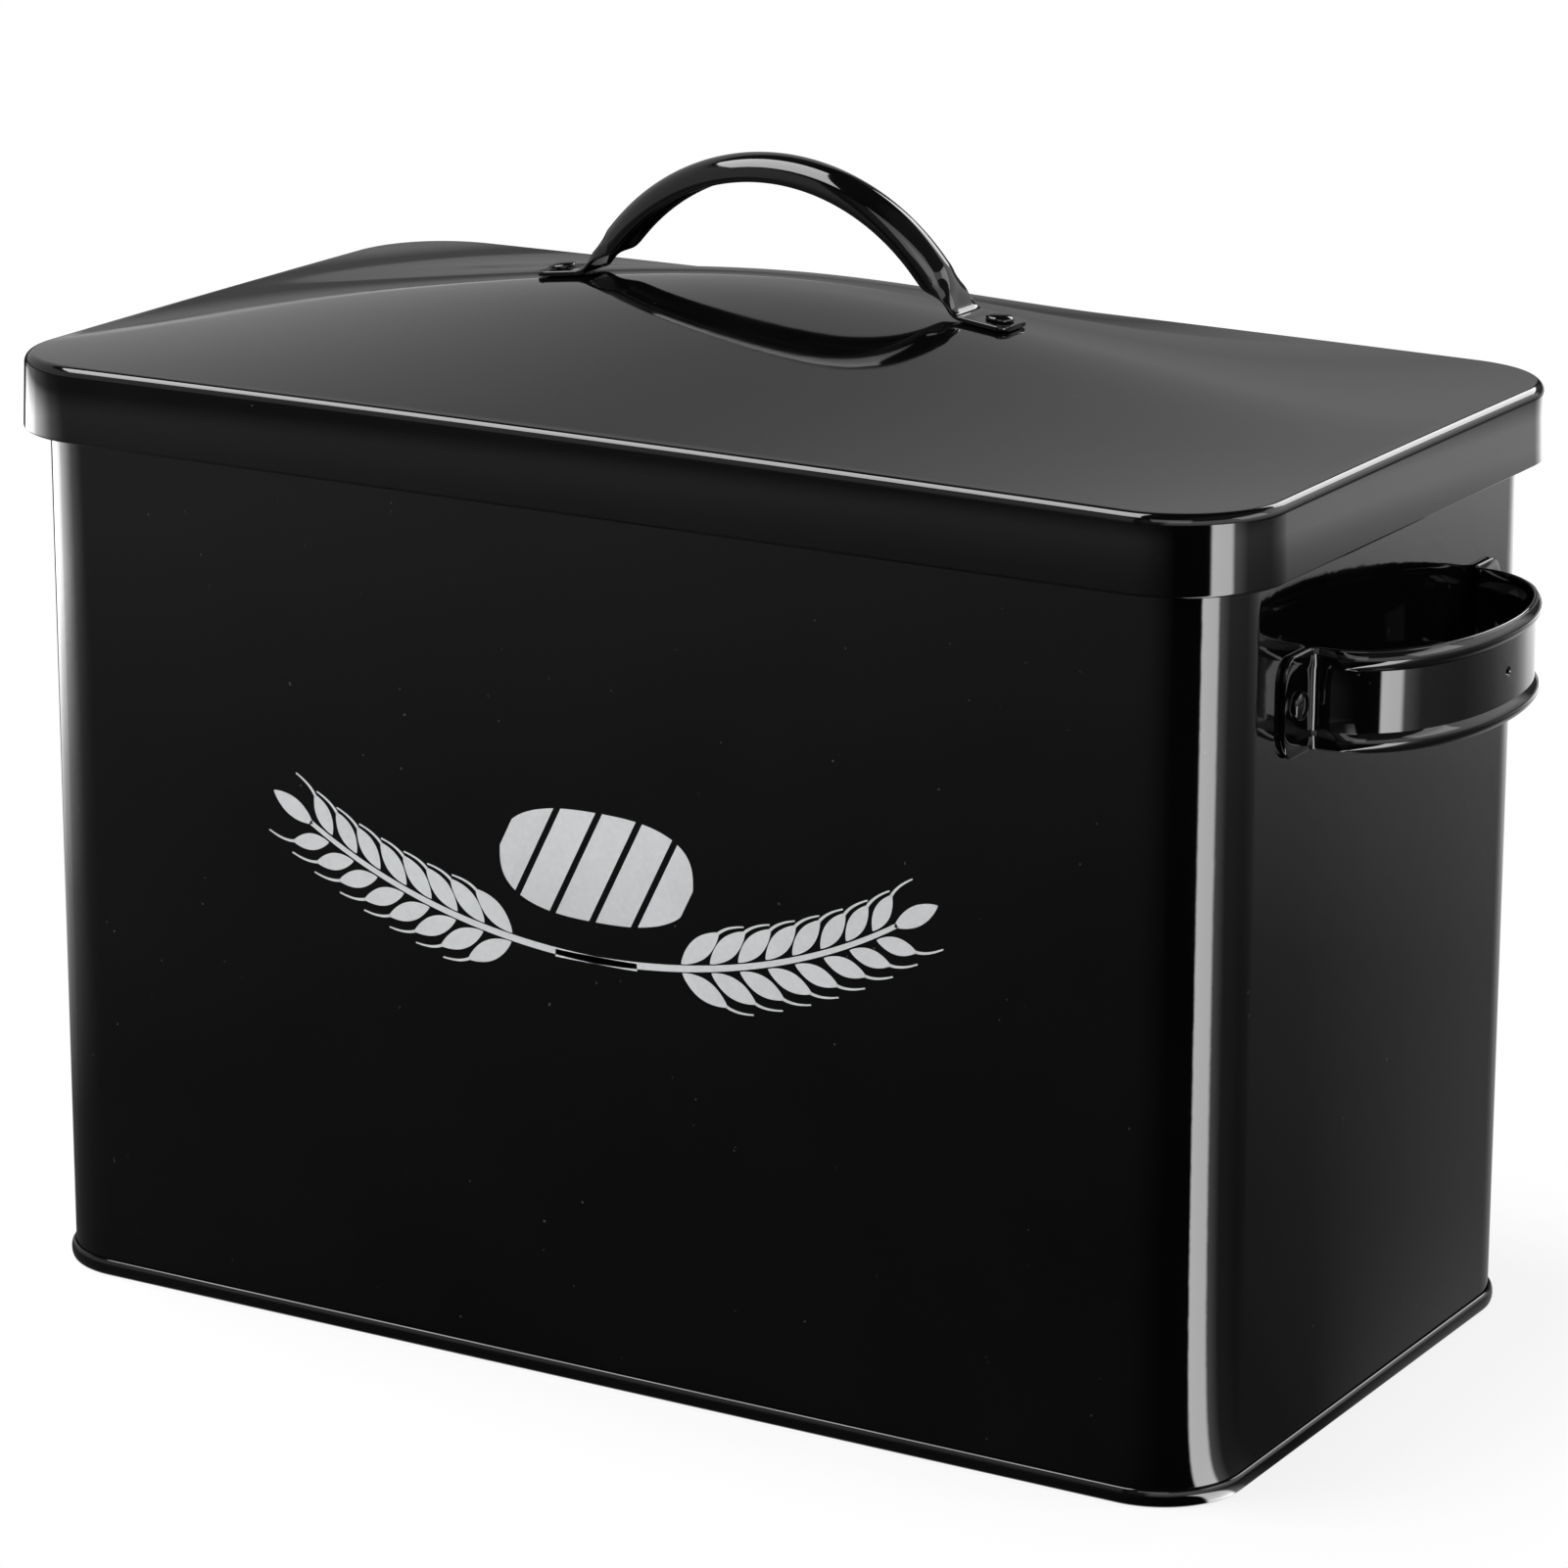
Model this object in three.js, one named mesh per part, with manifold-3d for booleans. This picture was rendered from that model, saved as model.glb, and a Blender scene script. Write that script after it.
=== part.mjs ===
// A pressed sheet-steel bread bin: a tall box with a lift-off domed lid, a strap handle on the
// lid and a beaded band handle on each end. X runs along the bin, its front faces -Y, Z is up,
// and the bin stands on Z = 0. Lengths are in millimetres and angles in degrees.

import * as THREE from 'three';
import { mergeVertices } from 'three/addons/utils/BufferGeometryUtils.js';
import Module from 'manifold-3d';

const wasm = await Module();
wasm.setup();

// Driving dimensions
const bin_length = 318;
const bin_depth = 170;
const rim_height = 226.2;
const corner_radius = 20;
const wall_sheet = 0.5;
const fit_gap = 0.3;
const cut_overrun = 1;

// Rolled rim of the body
const curl_radius = 2.1;
const curl_turn = 300;
const curl_steps = 9;

// Upright lock seam at the middle of the back
const lock_seam_width = 7;
const lock_seam_rise = 0.6;
const lock_groove_width = 0.8;

// Base pan, seamed round the foot of the wall
const pan_sheet = 0.6;
const floor_height = 4;
const foot_seam_height = 6.2;
const foot_seam_bulge = 0.3;
const foot_seam_rounding = 0.5;

// Lid
const lid_sheet = 0.6;
const skirt_height = 17.8;
const skirt_reach = 6.3;
const skirt_flare = 0.6;
const fold_radius = 2.5;
const hem_height = 4.2;
const dome_rise = 18.9;
const long_crown = 0.9;
const short_crown = 0.3;
const ridge_long_roundness_share = 0.3;
const ridge_short_roundness_share = 0.27;

// Strap handle on the lid
const strap_sheet = 1.1;
const strap_width = 12;
const strap_channel_depth = 6;
const arch_height = 32.2;
const arch_radius = 55.5;
const leg_angle = 48.7;
const tab_tilt = 7.2;
const tab_bend_radius = 4;
const tab_length = 12;
const tab_end_rounding = 2.2;
const tab_end_share = 0.72;
const tab_rivet_inset = 4.6;
const flattening_length = 12;
const dimple_depth = 0.7;
const dimple_length = 9;
const dimple_width_share = 0.45;

// Band handle on each end of the bin
const band_sheet = 1;
const band_height = 23.2;
const band_drop = 48.6;
const band_set_back = 2.5;
const band_reach = 30;
const band_loop_power = 2.1;
const band_bead_height = 4.6;
const band_bead_rise = 1.3;
const bead_fade_length = 9;
const bead_bend_share = 0.25;
const foot_length = 14.5;
const foot_bend_radius = 2.2;
const foot_end_length = 4.5;
const foot_end_height = 6;
const foot_rivet_inset = 7.4;
const foot_corner_clearance = 6;
const hang_hole_radius = 1.1;

// Rivets
const shank_radius = 1.7;
const rivet_head_radius = 3.3;
const rivet_head_height = 1.3;
const rivet_tail_radius = 2.8;
const rivet_tail_height = 0.9;

// Angles
const quarter_turn = 90;
const half_turn = 180;

// How finely curves are cut into facets
const body_corner_steps = 6;
const lid_corner_steps = 6;
const lid_long_steps = 8;
const lid_short_steps = 4;
const dome_rings = 12;
const fold_steps = 3;
const hole_sides = 16;
const rivet_sides = 14;
const rivet_head_steps = 3;
const strap_section_steps = 7;
const arch_steps = 14;
const band_loop_steps = 18;
const bead_steps = 4;

// What the pieces share
const lid_seat_height = rim_height + fit_gap + lid_sheet;
const hole_radius = shank_radius + fit_gap;
const foot_end_reach = bin_depth / 2 - corner_radius - foot_corner_clearance - band_set_back;
const band_half_loop = foot_end_reach - foot_length;
const side_rivet_spread = band_half_loop + foot_rivet_inset;
const cylinder_axis = new THREE.Vector3(0, 1, 0);
const x_axis = new THREE.Vector3(1, 0, 0);
const black_enamel = { color: 0x0d0d0f, roughness: 0.16, metalness: 0 };

function radians(degrees) {
  return THREE.MathUtils.degToRad(degrees);
}

// A closed solid from a list of rings with equal counts of points. Either the last ring joins
// the first one, or a fan round the middle of each end ring closes the solid.
function ringSolid(rings, endless = false) {
  const count = rings[0].length;
  const points = rings.flat();
  const faces = [];
  const spans = endless ? rings.length : rings.length - 1;
  for (let i = 0; i < spans; i += 1) {
    const here = i * count;
    const next = ((i + 1) % rings.length) * count;
    for (let j = 0; j < count; j += 1) {
      const k = (j + 1) % count;
      faces.push([here + j, next + j, next + k], [here + j, next + k, here + k]);
    }
  }
  if (!endless) {
    [0, rings.length - 1].forEach((ring) => {
      const middle = new THREE.Vector3();
      rings[ring].forEach((point) => middle.addScaledVector(point, 1 / count));
      const hub = points.push(middle) - 1;
      for (let j = 0; j < count; j += 1) {
        const rim = [ring * count + j, ring * count + ((j + 1) % count)];
        faces.push(ring === 0 ? [hub, rim[0], rim[1]] : [hub, rim[1], rim[0]]);
      }
    });
  }
  return facesOut(points, faces);
}

// Makes a geometry of the faces, turned over if they enclose a negative volume.
function facesOut(points, faces) {
  const volume = faces.reduce((sum, [a, b, c]) => {
    const cross = new THREE.Vector3().crossVectors(points[b], points[c]);
    return sum + points[a].dot(cross);
  }, 0);
  const turned = volume < 0 ? faces.map(([a, b, c]) => [a, c, b]) : faces;
  const geometry = new THREE.BufferGeometry();
  const numbers = points.flatMap((point) => point.toArray());
  geometry.setAttribute('position', new THREE.Float32BufferAttribute(numbers, 3));
  geometry.setIndex(turned.flat());
  return geometry;
}

function toSolid(geometry) {
  const bare = geometry.clone();
  bare.deleteAttribute('normal');
  bare.deleteAttribute('uv');
  const merged = mergeVertices(bare);
  return new wasm.Manifold(new wasm.Mesh({
    numProp: 3,
    vertProperties: new Float32Array(merged.attributes.position.array),
    triVerts: new Uint32Array(merged.index.array),
  }));
}

function toGeometry(solid) {
  const mesh = solid.getMesh();
  const geometry = new THREE.BufferGeometry();
  geometry.setAttribute('position', new THREE.BufferAttribute(mesh.vertProperties, 3));
  geometry.setIndex(new THREE.BufferAttribute(mesh.triVerts, 1));
  return geometry;
}

// A round cutter along an axis, centred on a place.
function drill(radius, length, axis, place) {
  const cutter = new THREE.CylinderGeometry(radius, radius, length, hole_sides);
  cutter.applyQuaternion(new THREE.Quaternion().setFromUnitVectors(cylinder_axis, axis));
  cutter.translate(place.x, place.y, place.z);
  return toSolid(cutter);
}

function cutHoles(geometry, cutters) {
  return toGeometry(cutters.reduce((solid, cutter) => solid.subtract(cutter), toSolid(geometry)));
}

function makeMesh(name, geometry, finish) {
  const shown = geometry.index ? geometry.toNonIndexed() : geometry;
  shown.computeVertexNormals();
  const mesh = new THREE.Mesh(shown, new THREE.MeshStandardMaterial(finish));
  mesh.name = name;
  return mesh;
}

// The outside of the body seen from above: places and outward directions round a rectangle with
// round corners, starting at the front right corner.
function bodyOutline(corner_steps, long_steps, short_steps) {
  const inner_length = bin_length / 2 - corner_radius;
  const inner_depth = bin_depth / 2 - corner_radius;
  const corners = [[1, -1, -quarter_turn], [1, 1, 0], [-1, 1, quarter_turn], [-1, -1, half_turn]];
  const outline = [];
  corners.forEach(([side_x, side_y, start], index) => {
    const [next_x, next_y] = corners[(index + 1) % corners.length];
    for (let i = 0; i <= corner_steps; i += 1) {
      const turn = radians(start + quarter_turn * i / corner_steps);
      const out = new THREE.Vector2(Math.cos(turn), Math.sin(turn));
      const centre = new THREE.Vector2(side_x * inner_length, side_y * inner_depth);
      outline.push({ place: centre.addScaledVector(out, corner_radius), out });
    }
    const { place, out } = outline[outline.length - 1];
    const steps = side_x === next_x ? short_steps : long_steps;
    const travel = new THREE.Vector2(next_x - side_x, next_y - side_y);
    travel.multiply(new THREE.Vector2(inner_length, inner_depth));
    for (let i = 1; i < steps; i += 1) {
      outline.push({ place: place.clone().addScaledVector(travel, i / steps), out });
    }
  });
  return outline;
}

// One ring that follows an outline, so far outside it and so high.
function outlineRing(outline, reach, height) {
  return outline.map(({ place, out }) => {
    const point = place.clone().addScaledVector(out, reach);
    return new THREE.Vector3(point.x, point.y, height);
  });
}

// Points of a round stretch of a section, as pairs of reach and height.
function arcPoints(centre_reach, centre_height, radius, start, end, steps) {
  return Array.from({ length: steps + 1 }, (_, i) => {
    const turn = radians(start + (end - start) * i / steps);
    return [centre_reach + radius * Math.cos(turn), centre_height + radius * Math.sin(turn)];
  });
}

// The body wall: a sheet whose top edge curls outwards and back down, swept round the outline.
// The lock seam's fold lies inside at the back, and only a fine groove shows outside.
function bodyWall() {
  const foot_height = pan_sheet + fit_gap;
  const curl_centre = rim_height - curl_radius;
  const reach = curl_radius - wall_sheet;
  const end = half_turn - curl_turn;
  const outer = arcPoints(reach, curl_centre, curl_radius, half_turn, end, curl_steps);
  const inner = arcPoints(reach, curl_centre, curl_radius - wall_sheet, end, half_turn, curl_steps);
  const section = [[-wall_sheet, foot_height], ...outer, ...inner, [0, foot_height]];
  const outline = bodyOutline(body_corner_steps, 1, 1);
  const rings = section.map(([out, height]) => outlineRing(outline, out, height));
  const sheet = toSolid(ringSolid(rings, true));

  const fold_foot = floor_height + fit_gap;
  const fold_top = curl_centre - curl_radius;
  const fold_length = fold_top - fold_foot;
  const fold = new THREE.BoxGeometry(lock_seam_width, lock_seam_rise + wall_sheet / 2, fold_length);
  const fold_place = bin_depth / 2 - wall_sheet / 2 - (lock_seam_rise + wall_sheet / 2) / 2;
  fold.translate(0, fold_place, (fold_top + fold_foot) / 2);
  const groove_side = lock_groove_width / Math.SQRT2;
  const groove = new THREE.BoxGeometry(groove_side, groove_side, fold_length);
  groove.rotateZ(radians(quarter_turn / 2));
  groove.translate(0, bin_depth / 2, (fold_top + fold_foot) / 2);

  const holes = sideRivetPlaces().map((place) => drill(hole_radius, curl_radius * 4, x_axis, place));
  return cutHoles(toGeometry(sheet.add(toSolid(fold))), [toSolid(groove), ...holes]);
}

// The base pan: a sunk floor whose edge runs down beside the wall, under its foot and up again
// outside it. The bin stands on the flat underside of that seam.
function basePan() {
  const inner_skin = -wall_sheet - fit_gap;
  const inner_face = inner_skin - pan_sheet;
  const outer_skin = fit_gap;
  const outer_face = outer_skin + pan_sheet;
  const round = foot_seam_rounding;
  const bulge_height = foot_seam_height / 2;
  const section = [
    [inner_face, floor_height - pan_sheet],
    [inner_face, 0],
    ...arcPoints(outer_face - round, round, round, -quarter_turn, 0, 2),
    [outer_face + foot_seam_bulge, bulge_height],
    ...arcPoints(outer_face - round, foot_seam_height - round, round, 0, quarter_turn, 2),
    [outer_skin, foot_seam_height],
    [outer_skin, pan_sheet],
    [inner_skin, pan_sheet],
    [inner_skin, floor_height],
  ];
  const outline = bodyOutline(body_corner_steps, 1, 1);
  return ringSolid(section.map(([out, height]) => outlineRing(outline, out, height)));
}

// Where the flat top of the lid starts to fold down, beyond the body wall.
const fold_start = skirt_reach - skirt_flare - fold_radius;
const lid_top_half_length = bin_length / 2 + fold_start;
const lid_top_half_depth = bin_depth / 2 + fold_start;

// Share of a ridge's height at a share of the way from its line to its foot: rounded over the
// line, then almost straight down to the foot.
function ridgeShare(way, roundness_share) {
  const fall = (share) => Math.hypot(share, roundness_share) - roundness_share;
  return 1 - fall(Math.min(Math.abs(way), 1)) / fall(1);
}

// Height of the pressed lid above its corners: a cushion that falls to all four sides from its
// rounded middle, on a slightly crowned border.
function lidHeight(x, y) {
  const u = x / lid_top_half_length;
  const v = y / lid_top_half_depth;
  const along = ridgeShare(u, ridge_long_roundness_share);
  const across = ridgeShare(v, ridge_short_roundness_share);
  const border = long_crown * (1 - u * u) + short_crown * (1 - v * v);
  return border + dome_rise * along * across;
}

// The lid from the middle of its underside, out to the hem, and back over the top.
function lidShell() {
  const outline = bodyOutline(lid_corner_steps, lid_long_steps, lid_short_steps);
  const domeRing = (share, drop) => outlineRing(outline, fold_start, 0).map((point) => {
    const x = point.x * share;
    const y = point.y * share;
    return new THREE.Vector3(x, y, lidHeight(x, y) - drop);
  });
  const foldRing = (reach, drop) => outlineRing(outline, reach, 0).map((point, i) => {
    const border = outlineRing([outline[i]], fold_start, 0)[0];
    return point.setZ(lidHeight(border.x, border.y) - drop);
  });
  const shares = Array.from({ length: dome_rings }, (_, i) => (i + 1) / dome_rings);
  const foldRings = (radius) => {
    const arc = arcPoints(fold_start, -fold_radius, radius, quarter_turn, 0, fold_steps).slice(1);
    return arc.map(([reach, height]) => foldRing(reach, -height));
  };
  const hem_face = skirt_reach - 2 * lid_sheet - fit_gap / 2;
  const hem_slope = skirt_flare / (skirt_height - fold_radius);
  const lip_radius = (skirt_reach - hem_face) / 2;
  const lip_height = lip_radius - skirt_height;
  const lip = arcPoints(hem_face + lip_radius, lip_height, lip_radius, -half_turn, 0, 4);
  const hem_top = hem_height - skirt_height;
  const skirt = [
    [skirt_reach - hem_slope * (hem_height + lid_sheet) - lid_sheet, hem_top + lid_sheet],
    [hem_face - hem_slope * hem_height, hem_top],
    ...lip,
  ];
  return ringSolid([
    ...shares.map((share) => domeRing(share, lid_sheet)),
    ...foldRings(fold_radius - lid_sheet),
    ...skirt.map(([reach, height]) => outlineRing(outline, reach, height)),
    ...foldRings(fold_radius).reverse(),
    ...shares.map((share) => domeRing(share, 0)).reverse(),
  ]);
}

// The strap's middle line in the XZ plane, from the middle of the arch at Z = 0 to the end of a
// tab, as a list of places and slopes. It is an arc, a straight leg, a bend and a tab that is
// tilted to lie along the lid.
function strapStations() {
  const leg_turn = radians(leg_angle);
  const tab_turn = radians(tab_tilt);
  const outwards = (turn) => new THREE.Vector2(Math.cos(turn), -Math.sin(turn));
  const upwards = (turn) => new THREE.Vector2(Math.sin(turn), Math.cos(turn));
  const arch_middle = new THREE.Vector2(0, -arch_radius);
  const arcPlace = (turn) => upwards(turn).multiplyScalar(arch_radius).add(arch_middle);
  const leg_start = arcPlace(leg_turn);
  const corner_drop = arch_height - strap_channel_depth / 2;
  const bend_reach = tab_bend_radius * Math.tan((leg_turn - tab_turn) / 2);
  const leg_length = (leg_start.y + corner_drop) / Math.sin(leg_turn) - bend_reach;
  const corner = outwards(leg_turn).multiplyScalar(leg_length + bend_reach).add(leg_start);
  const tab_start = outwards(tab_turn).multiplyScalar(bend_reach).add(corner);
  const bend_middle = upwards(tab_turn).multiplyScalar(tab_bend_radius).add(tab_start);
  const stations = [];
  const half_arch = arch_steps / 2;
  for (let i = 0; i <= half_arch; i += 1) {
    const turn = leg_turn * i / half_arch;
    const to_bend = leg_length + arch_radius * (leg_turn - turn);
    stations.push({ place: arcPlace(turn), turn, to_bend });
  }
  const leg_steps = 5;
  for (let i = 1; i < leg_steps; i += 1) {
    const run = leg_length * i / leg_steps;
    const place = outwards(leg_turn).multiplyScalar(run).add(leg_start);
    stations.push({ place, turn: leg_turn, to_bend: leg_length - run });
  }
  const bend_steps = 3;
  for (let i = 0; i <= bend_steps; i += 1) {
    const turn = leg_turn + (tab_turn - leg_turn) * i / bend_steps;
    const place = upwards(turn).multiplyScalar(-tab_bend_radius).add(bend_middle);
    stations.push({ place, turn, to_bend: -tab_bend_radius * (leg_turn - turn) });
  }
  const end_steps = 3;
  for (let i = 0; i <= end_steps; i += 1) {
    const share = i / end_steps;
    const run = tab_length - tab_end_rounding * (1 - share);
    const place = outwards(tab_turn).multiplyScalar(run).add(tab_start);
    stations.push({ place, turn: tab_turn, to_bend: -run, end_share: share });
  }
  return stations;
}

// One section of the strap: a half-round channel on the arch that flattens into the tab, with
// a dimple pressed into the top where it flattens. The tab's end is a shallow curve.
function strapSection({ place, turn, to_bend, end_share = 0 }) {
  const channel = THREE.MathUtils.smoothstep(to_bend, 0, flattening_length);
  const dimple_place = Math.abs(to_bend - dimple_length / 4) / (dimple_length / 2);
  const dimple_turn = radians(quarter_turn * Math.min(dimple_place, 1));
  const dimple_along = Math.cos(dimple_turn) ** 2;
  const half_width = strap_width / 2 * Math.sqrt(1 - (end_share * tab_end_share) ** 2);
  const slant = new THREE.Vector2(Math.sin(turn), Math.cos(turn));
  const top = [];
  const under = [];
  for (let i = 0; i <= strap_section_steps; i += 1) {
    const side = 2 * i / strap_section_steps - 1;
    const round = Math.cos(radians(quarter_turn * side));
    const round_spread = Math.sin(radians(quarter_turn * side));
    const spread = side * (1 - channel) + round_spread * channel;
    const dimple_across = Math.max(0, 1 - (side / dimple_width_share) ** 2);
    const rise = strap_channel_depth * channel * (round - 0.5);
    const outer = rise - dimple_depth * dimple_along * dimple_across;
    const inner = outer - strap_sheet * (1 - channel * (1 - round));
    const inner_half = half_width - strap_sheet * channel;
    const above = slant.clone().multiplyScalar(outer).add(place);
    const below = slant.clone().multiplyScalar(inner).add(place);
    top.push(new THREE.Vector3(above.x, spread * half_width, above.y));
    under.push(new THREE.Vector3(below.x, spread * inner_half, below.y));
  }
  return [...top, ...under.reverse()];
}

function lidHandle() {
  const half = strapStations();
  const mirror = half.slice(1).reverse();
  const flip = ({ x, y, z }) => new THREE.Vector3(-x, y, z);
  const sections = [
    ...mirror.map((station) => strapSection(station).map(flip)),
    ...half.map((station) => strapSection(station)),
  ];
  const strap = ringSolid(sections);
  strap.translate(0, 0, strapLift());
  const cutters = lidRivetPlaces().map((place) => {
    return drill(hole_radius, strap_sheet + 4 * cut_overrun, lidRivetAxis(place), place);
  });
  return cutHoles(strap, cutters);
}

// The right-hand lid rivet's place on the strap's line, before the strap is lifted.
function strapRivetPlace() {
  const stations = strapStations();
  const tip = stations[stations.length - 1].place;
  const tab_turn = radians(tab_tilt);
  const inwards = new THREE.Vector2(-Math.cos(tab_turn), Math.sin(tab_turn));
  return inwards.multiplyScalar(tab_rivet_inset).add(tip);
}

// How far the strap is lifted for its tabs to clear the lid by the fitting gap at the rivets.
function strapLift() {
  const rivet_place = strapRivetPlace();
  const tab_thickness = (strap_sheet + fit_gap) / Math.cos(radians(tab_tilt));
  return lidHeight(rivet_place.x, 0) + tab_thickness - rivet_place.y;
}

// Where the lid handle's two rivets stand, on the top faces of the tabs, and their directions.
function lidRivetPlaces() {
  const { x, y } = strapRivetPlace();
  return [-x, x].map((reach) => new THREE.Vector3(reach, 0, y + strapLift()));
}

function lidRivetAxis(place) {
  const tab_turn = radians(tab_tilt) * Math.sign(place.x);
  return new THREE.Vector3(Math.sin(tab_turn), 0, Math.cos(tab_turn));
}

// The band handle's middle line seen from above, from the front foot to the rear one: x runs out
// from the wall and y along it. Each foot bends into a loop shaped as a superellipse.
function bandStations() {
  const foot_x = fit_gap + band_sheet / 2;
  const loop_x = foot_x + foot_bend_radius;
  const loop_reach = band_reach - band_bead_rise - band_sheet / 2 - loop_x;
  const bend_start = band_half_loop + foot_bend_radius;
  const half = [];
  const end_steps = 3;
  for (let i = 0; i <= end_steps; i += 1) {
    const y = foot_end_reach - foot_end_length * i / end_steps;
    half.push({ x: foot_x, y: -y, turn: 0, past_bend: bend_start - y, end_share: 1 - i / end_steps });
  }
  const bend_steps = 3;
  for (let i = 0; i <= bend_steps; i += 1) {
    const turn = radians(quarter_turn * i / bend_steps);
    const x = foot_x + foot_bend_radius * (1 - Math.cos(turn));
    const y = bend_start - foot_bend_radius * Math.sin(turn);
    half.push({ x, y: -y, turn, past_bend: 0 });
  }
  const half_steps = band_loop_steps / 2;
  const power = 2 / band_loop_power;
  for (let i = 1; i <= half_steps; i += 1) {
    const angle = radians(quarter_turn * i / half_steps);
    const across = Math.cos(angle) ** power;
    const along = Math.sin(angle) ** power;
    const steep = Math.max(along, 0) ** (band_loop_power - 1) / loop_reach;
    const level = i === half_steps ? 0 : across ** (band_loop_power - 1) / band_half_loop;
    const x = loop_x + loop_reach * along;
    const y = i === half_steps ? 0 : band_half_loop * across;
    half.push({ x, y: -y, turn: Math.atan2(level, steep), past_bend: x - loop_x });
  }
  const mirror = half.slice(0, -1).reverse();
  return [...half, ...mirror.map((station) => ({ ...station, y: -station.y, turn: -station.turn }))];
}

// One section of the band: flat in the middle, with an outward bead along the top and bottom
// edges that is squashed at the bend and fades out on the foot, whose end is rounded.
function bandSection({ x, y, turn, past_bend, end_share = 0 }) {
  const fade_length = past_bend < 0 ? foot_length : bead_fade_length;
  const fade = THREE.MathUtils.smoothstep(Math.abs(past_bend), 0, fade_length);
  const far_share = past_bend < 0 ? 0 : 1;
  const bead = band_bead_rise * THREE.MathUtils.lerp(bead_bend_share, far_share, fade);
  const trim = foot_end_height * (1 - Math.sqrt(1 - end_share ** 2));
  const half_height = band_height / 2 - trim;
  const away = new THREE.Vector2(Math.cos(turn), -Math.sin(turn));
  const front = [];
  const back = [];
  const levels = Array.from({ length: bead_steps + 1 }, (_, i) => i / bead_steps);
  const rows = [
    ...levels.map((share) => [-half_height + band_bead_height * share, share]),
    ...levels.map((share) => [half_height - band_bead_height * (1 - share), share]),
  ];
  rows.forEach(([z, share]) => {
    const bulge = bead * Math.sin(Math.PI * share);
    const outer = band_sheet / 2 + bulge;
    const inner = outer - band_sheet;
    front.push(new THREE.Vector3(x + away.x * outer, y + away.y * outer, z));
    back.push(new THREE.Vector3(x + away.x * inner, y + away.y * inner, z));
  });
  return [...front, ...back.reverse()];
}

function sideHandle() {
  const length = (band_sheet + cut_overrun) * 4;
  const cutters = [-side_rivet_spread, side_rivet_spread].map((y) => {
    return drill(hole_radius, length, x_axis, new THREE.Vector3(band_sheet, y, 0));
  });
  const middle = new THREE.Vector3(band_reach - band_bead_rise, 0, 0);
  cutters.push(drill(hang_hole_radius, length, x_axis, middle));
  return cutHoles(ringSolid(bandStations().map((station) => bandSection(station))), cutters);
}

// The four places on the end walls where the band handles are riveted.
function sideRivetPlaces() {
  const height = rim_height - band_drop;
  return [-1, 1].flatMap((end) => [-1, 1].map((side) => {
    const y = band_set_back + side * side_rivet_spread;
    return new THREE.Vector3(end * bin_length / 2, y, height);
  }));
}

// A domed rivet along +Z whose head seats at Z = 0, with a flattened tail below its grip.
function rivet(grip) {
  const head = Array.from({ length: rivet_head_steps + 1 }, (_, i) => {
    const turn = radians(quarter_turn * i / rivet_head_steps);
    const radius = rivet_head_radius * Math.sin(turn);
    return new THREE.Vector2(radius, rivet_head_height * Math.cos(turn));
  });
  const section = [
    ...head,
    new THREE.Vector2(shank_radius, 0),
    new THREE.Vector2(shank_radius, -grip),
    new THREE.Vector2(rivet_tail_radius, -grip),
    new THREE.Vector2(shank_radius, -grip - rivet_tail_height),
    new THREE.Vector2(0, -grip - rivet_tail_height),
  ];
  const geometry = new THREE.LatheGeometry(section.reverse(), rivet_sides);
  geometry.rotateX(radians(quarter_turn));
  return geometry;
}

const bin = new THREE.Group();
bin.add(makeMesh('body_wall', bodyWall(), black_enamel));
bin.add(makeMesh('base_pan', basePan(), black_enamel));

const side_grip = wall_sheet + band_sheet + 3 * fit_gap;
const rivet_names = ['left_front', 'left_back', 'right_front', 'right_back'];
sideRivetPlaces().forEach((place, i) => {
  const end = Math.sign(place.x);
  const mesh = makeMesh(`side_handle_rivet_${rivet_names[i]}`, rivet(side_grip), black_enamel);
  mesh.rotation.y = radians(quarter_turn * end);
  mesh.position.copy(place);
  mesh.position.x += end * (band_sheet + 2 * fit_gap);
  bin.add(mesh);
});
[['side_handle_left', -1], ['side_handle_right', 1]].forEach(([name, end]) => {
  const handle = makeMesh(name, sideHandle(), black_enamel);
  handle.rotation.z = end < 0 ? radians(half_turn) : 0;
  handle.position.set(end * bin_length / 2, band_set_back, rim_height - band_drop);
  bin.add(handle);
});

const lid = new THREE.Group();
lid.position.z = lid_seat_height;
const lid_cutters = lidRivetPlaces().map((place) => {
  return drill(hole_radius, dome_rise, lidRivetAxis(place), place);
});
lid.add(makeMesh('lid_shell', cutHoles(lidShell(), lid_cutters), black_enamel));
lid.add(makeMesh('lid_handle', lidHandle(), black_enamel));
lidRivetPlaces().forEach((place, i) => {
  const name = ['lid_handle_rivet_left', 'lid_handle_rivet_right'][i];
  const mesh = makeMesh(name, rivet(lid_sheet + strap_sheet + 3 * fit_gap), black_enamel);
  mesh.rotation.y = radians(tab_tilt) * Math.sign(place.x);
  mesh.position.copy(place).addScaledVector(lidRivetAxis(place), fit_gap);
  lid.add(mesh);
});

const bread_bin = new THREE.Group();
bread_bin.add(bin, lid);

export default bread_bin;
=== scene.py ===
# %% [markdown]
# # A pressed sheet-steel bread bin
# The real bin is thin steel sheet under gloss black enamel: a tall box with round corners, a
# lift-off lid pressed into a low ridge, a strap handle on the lid and a beaded band on each end.
# The CAD frame has every piece with its real place and joint. Here each piece is made again as a
# fine surface, because black gloss shows every facet, and gets its enamel and its light.

import bpy
import numpy as np
from mathutils import Matrix


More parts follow.
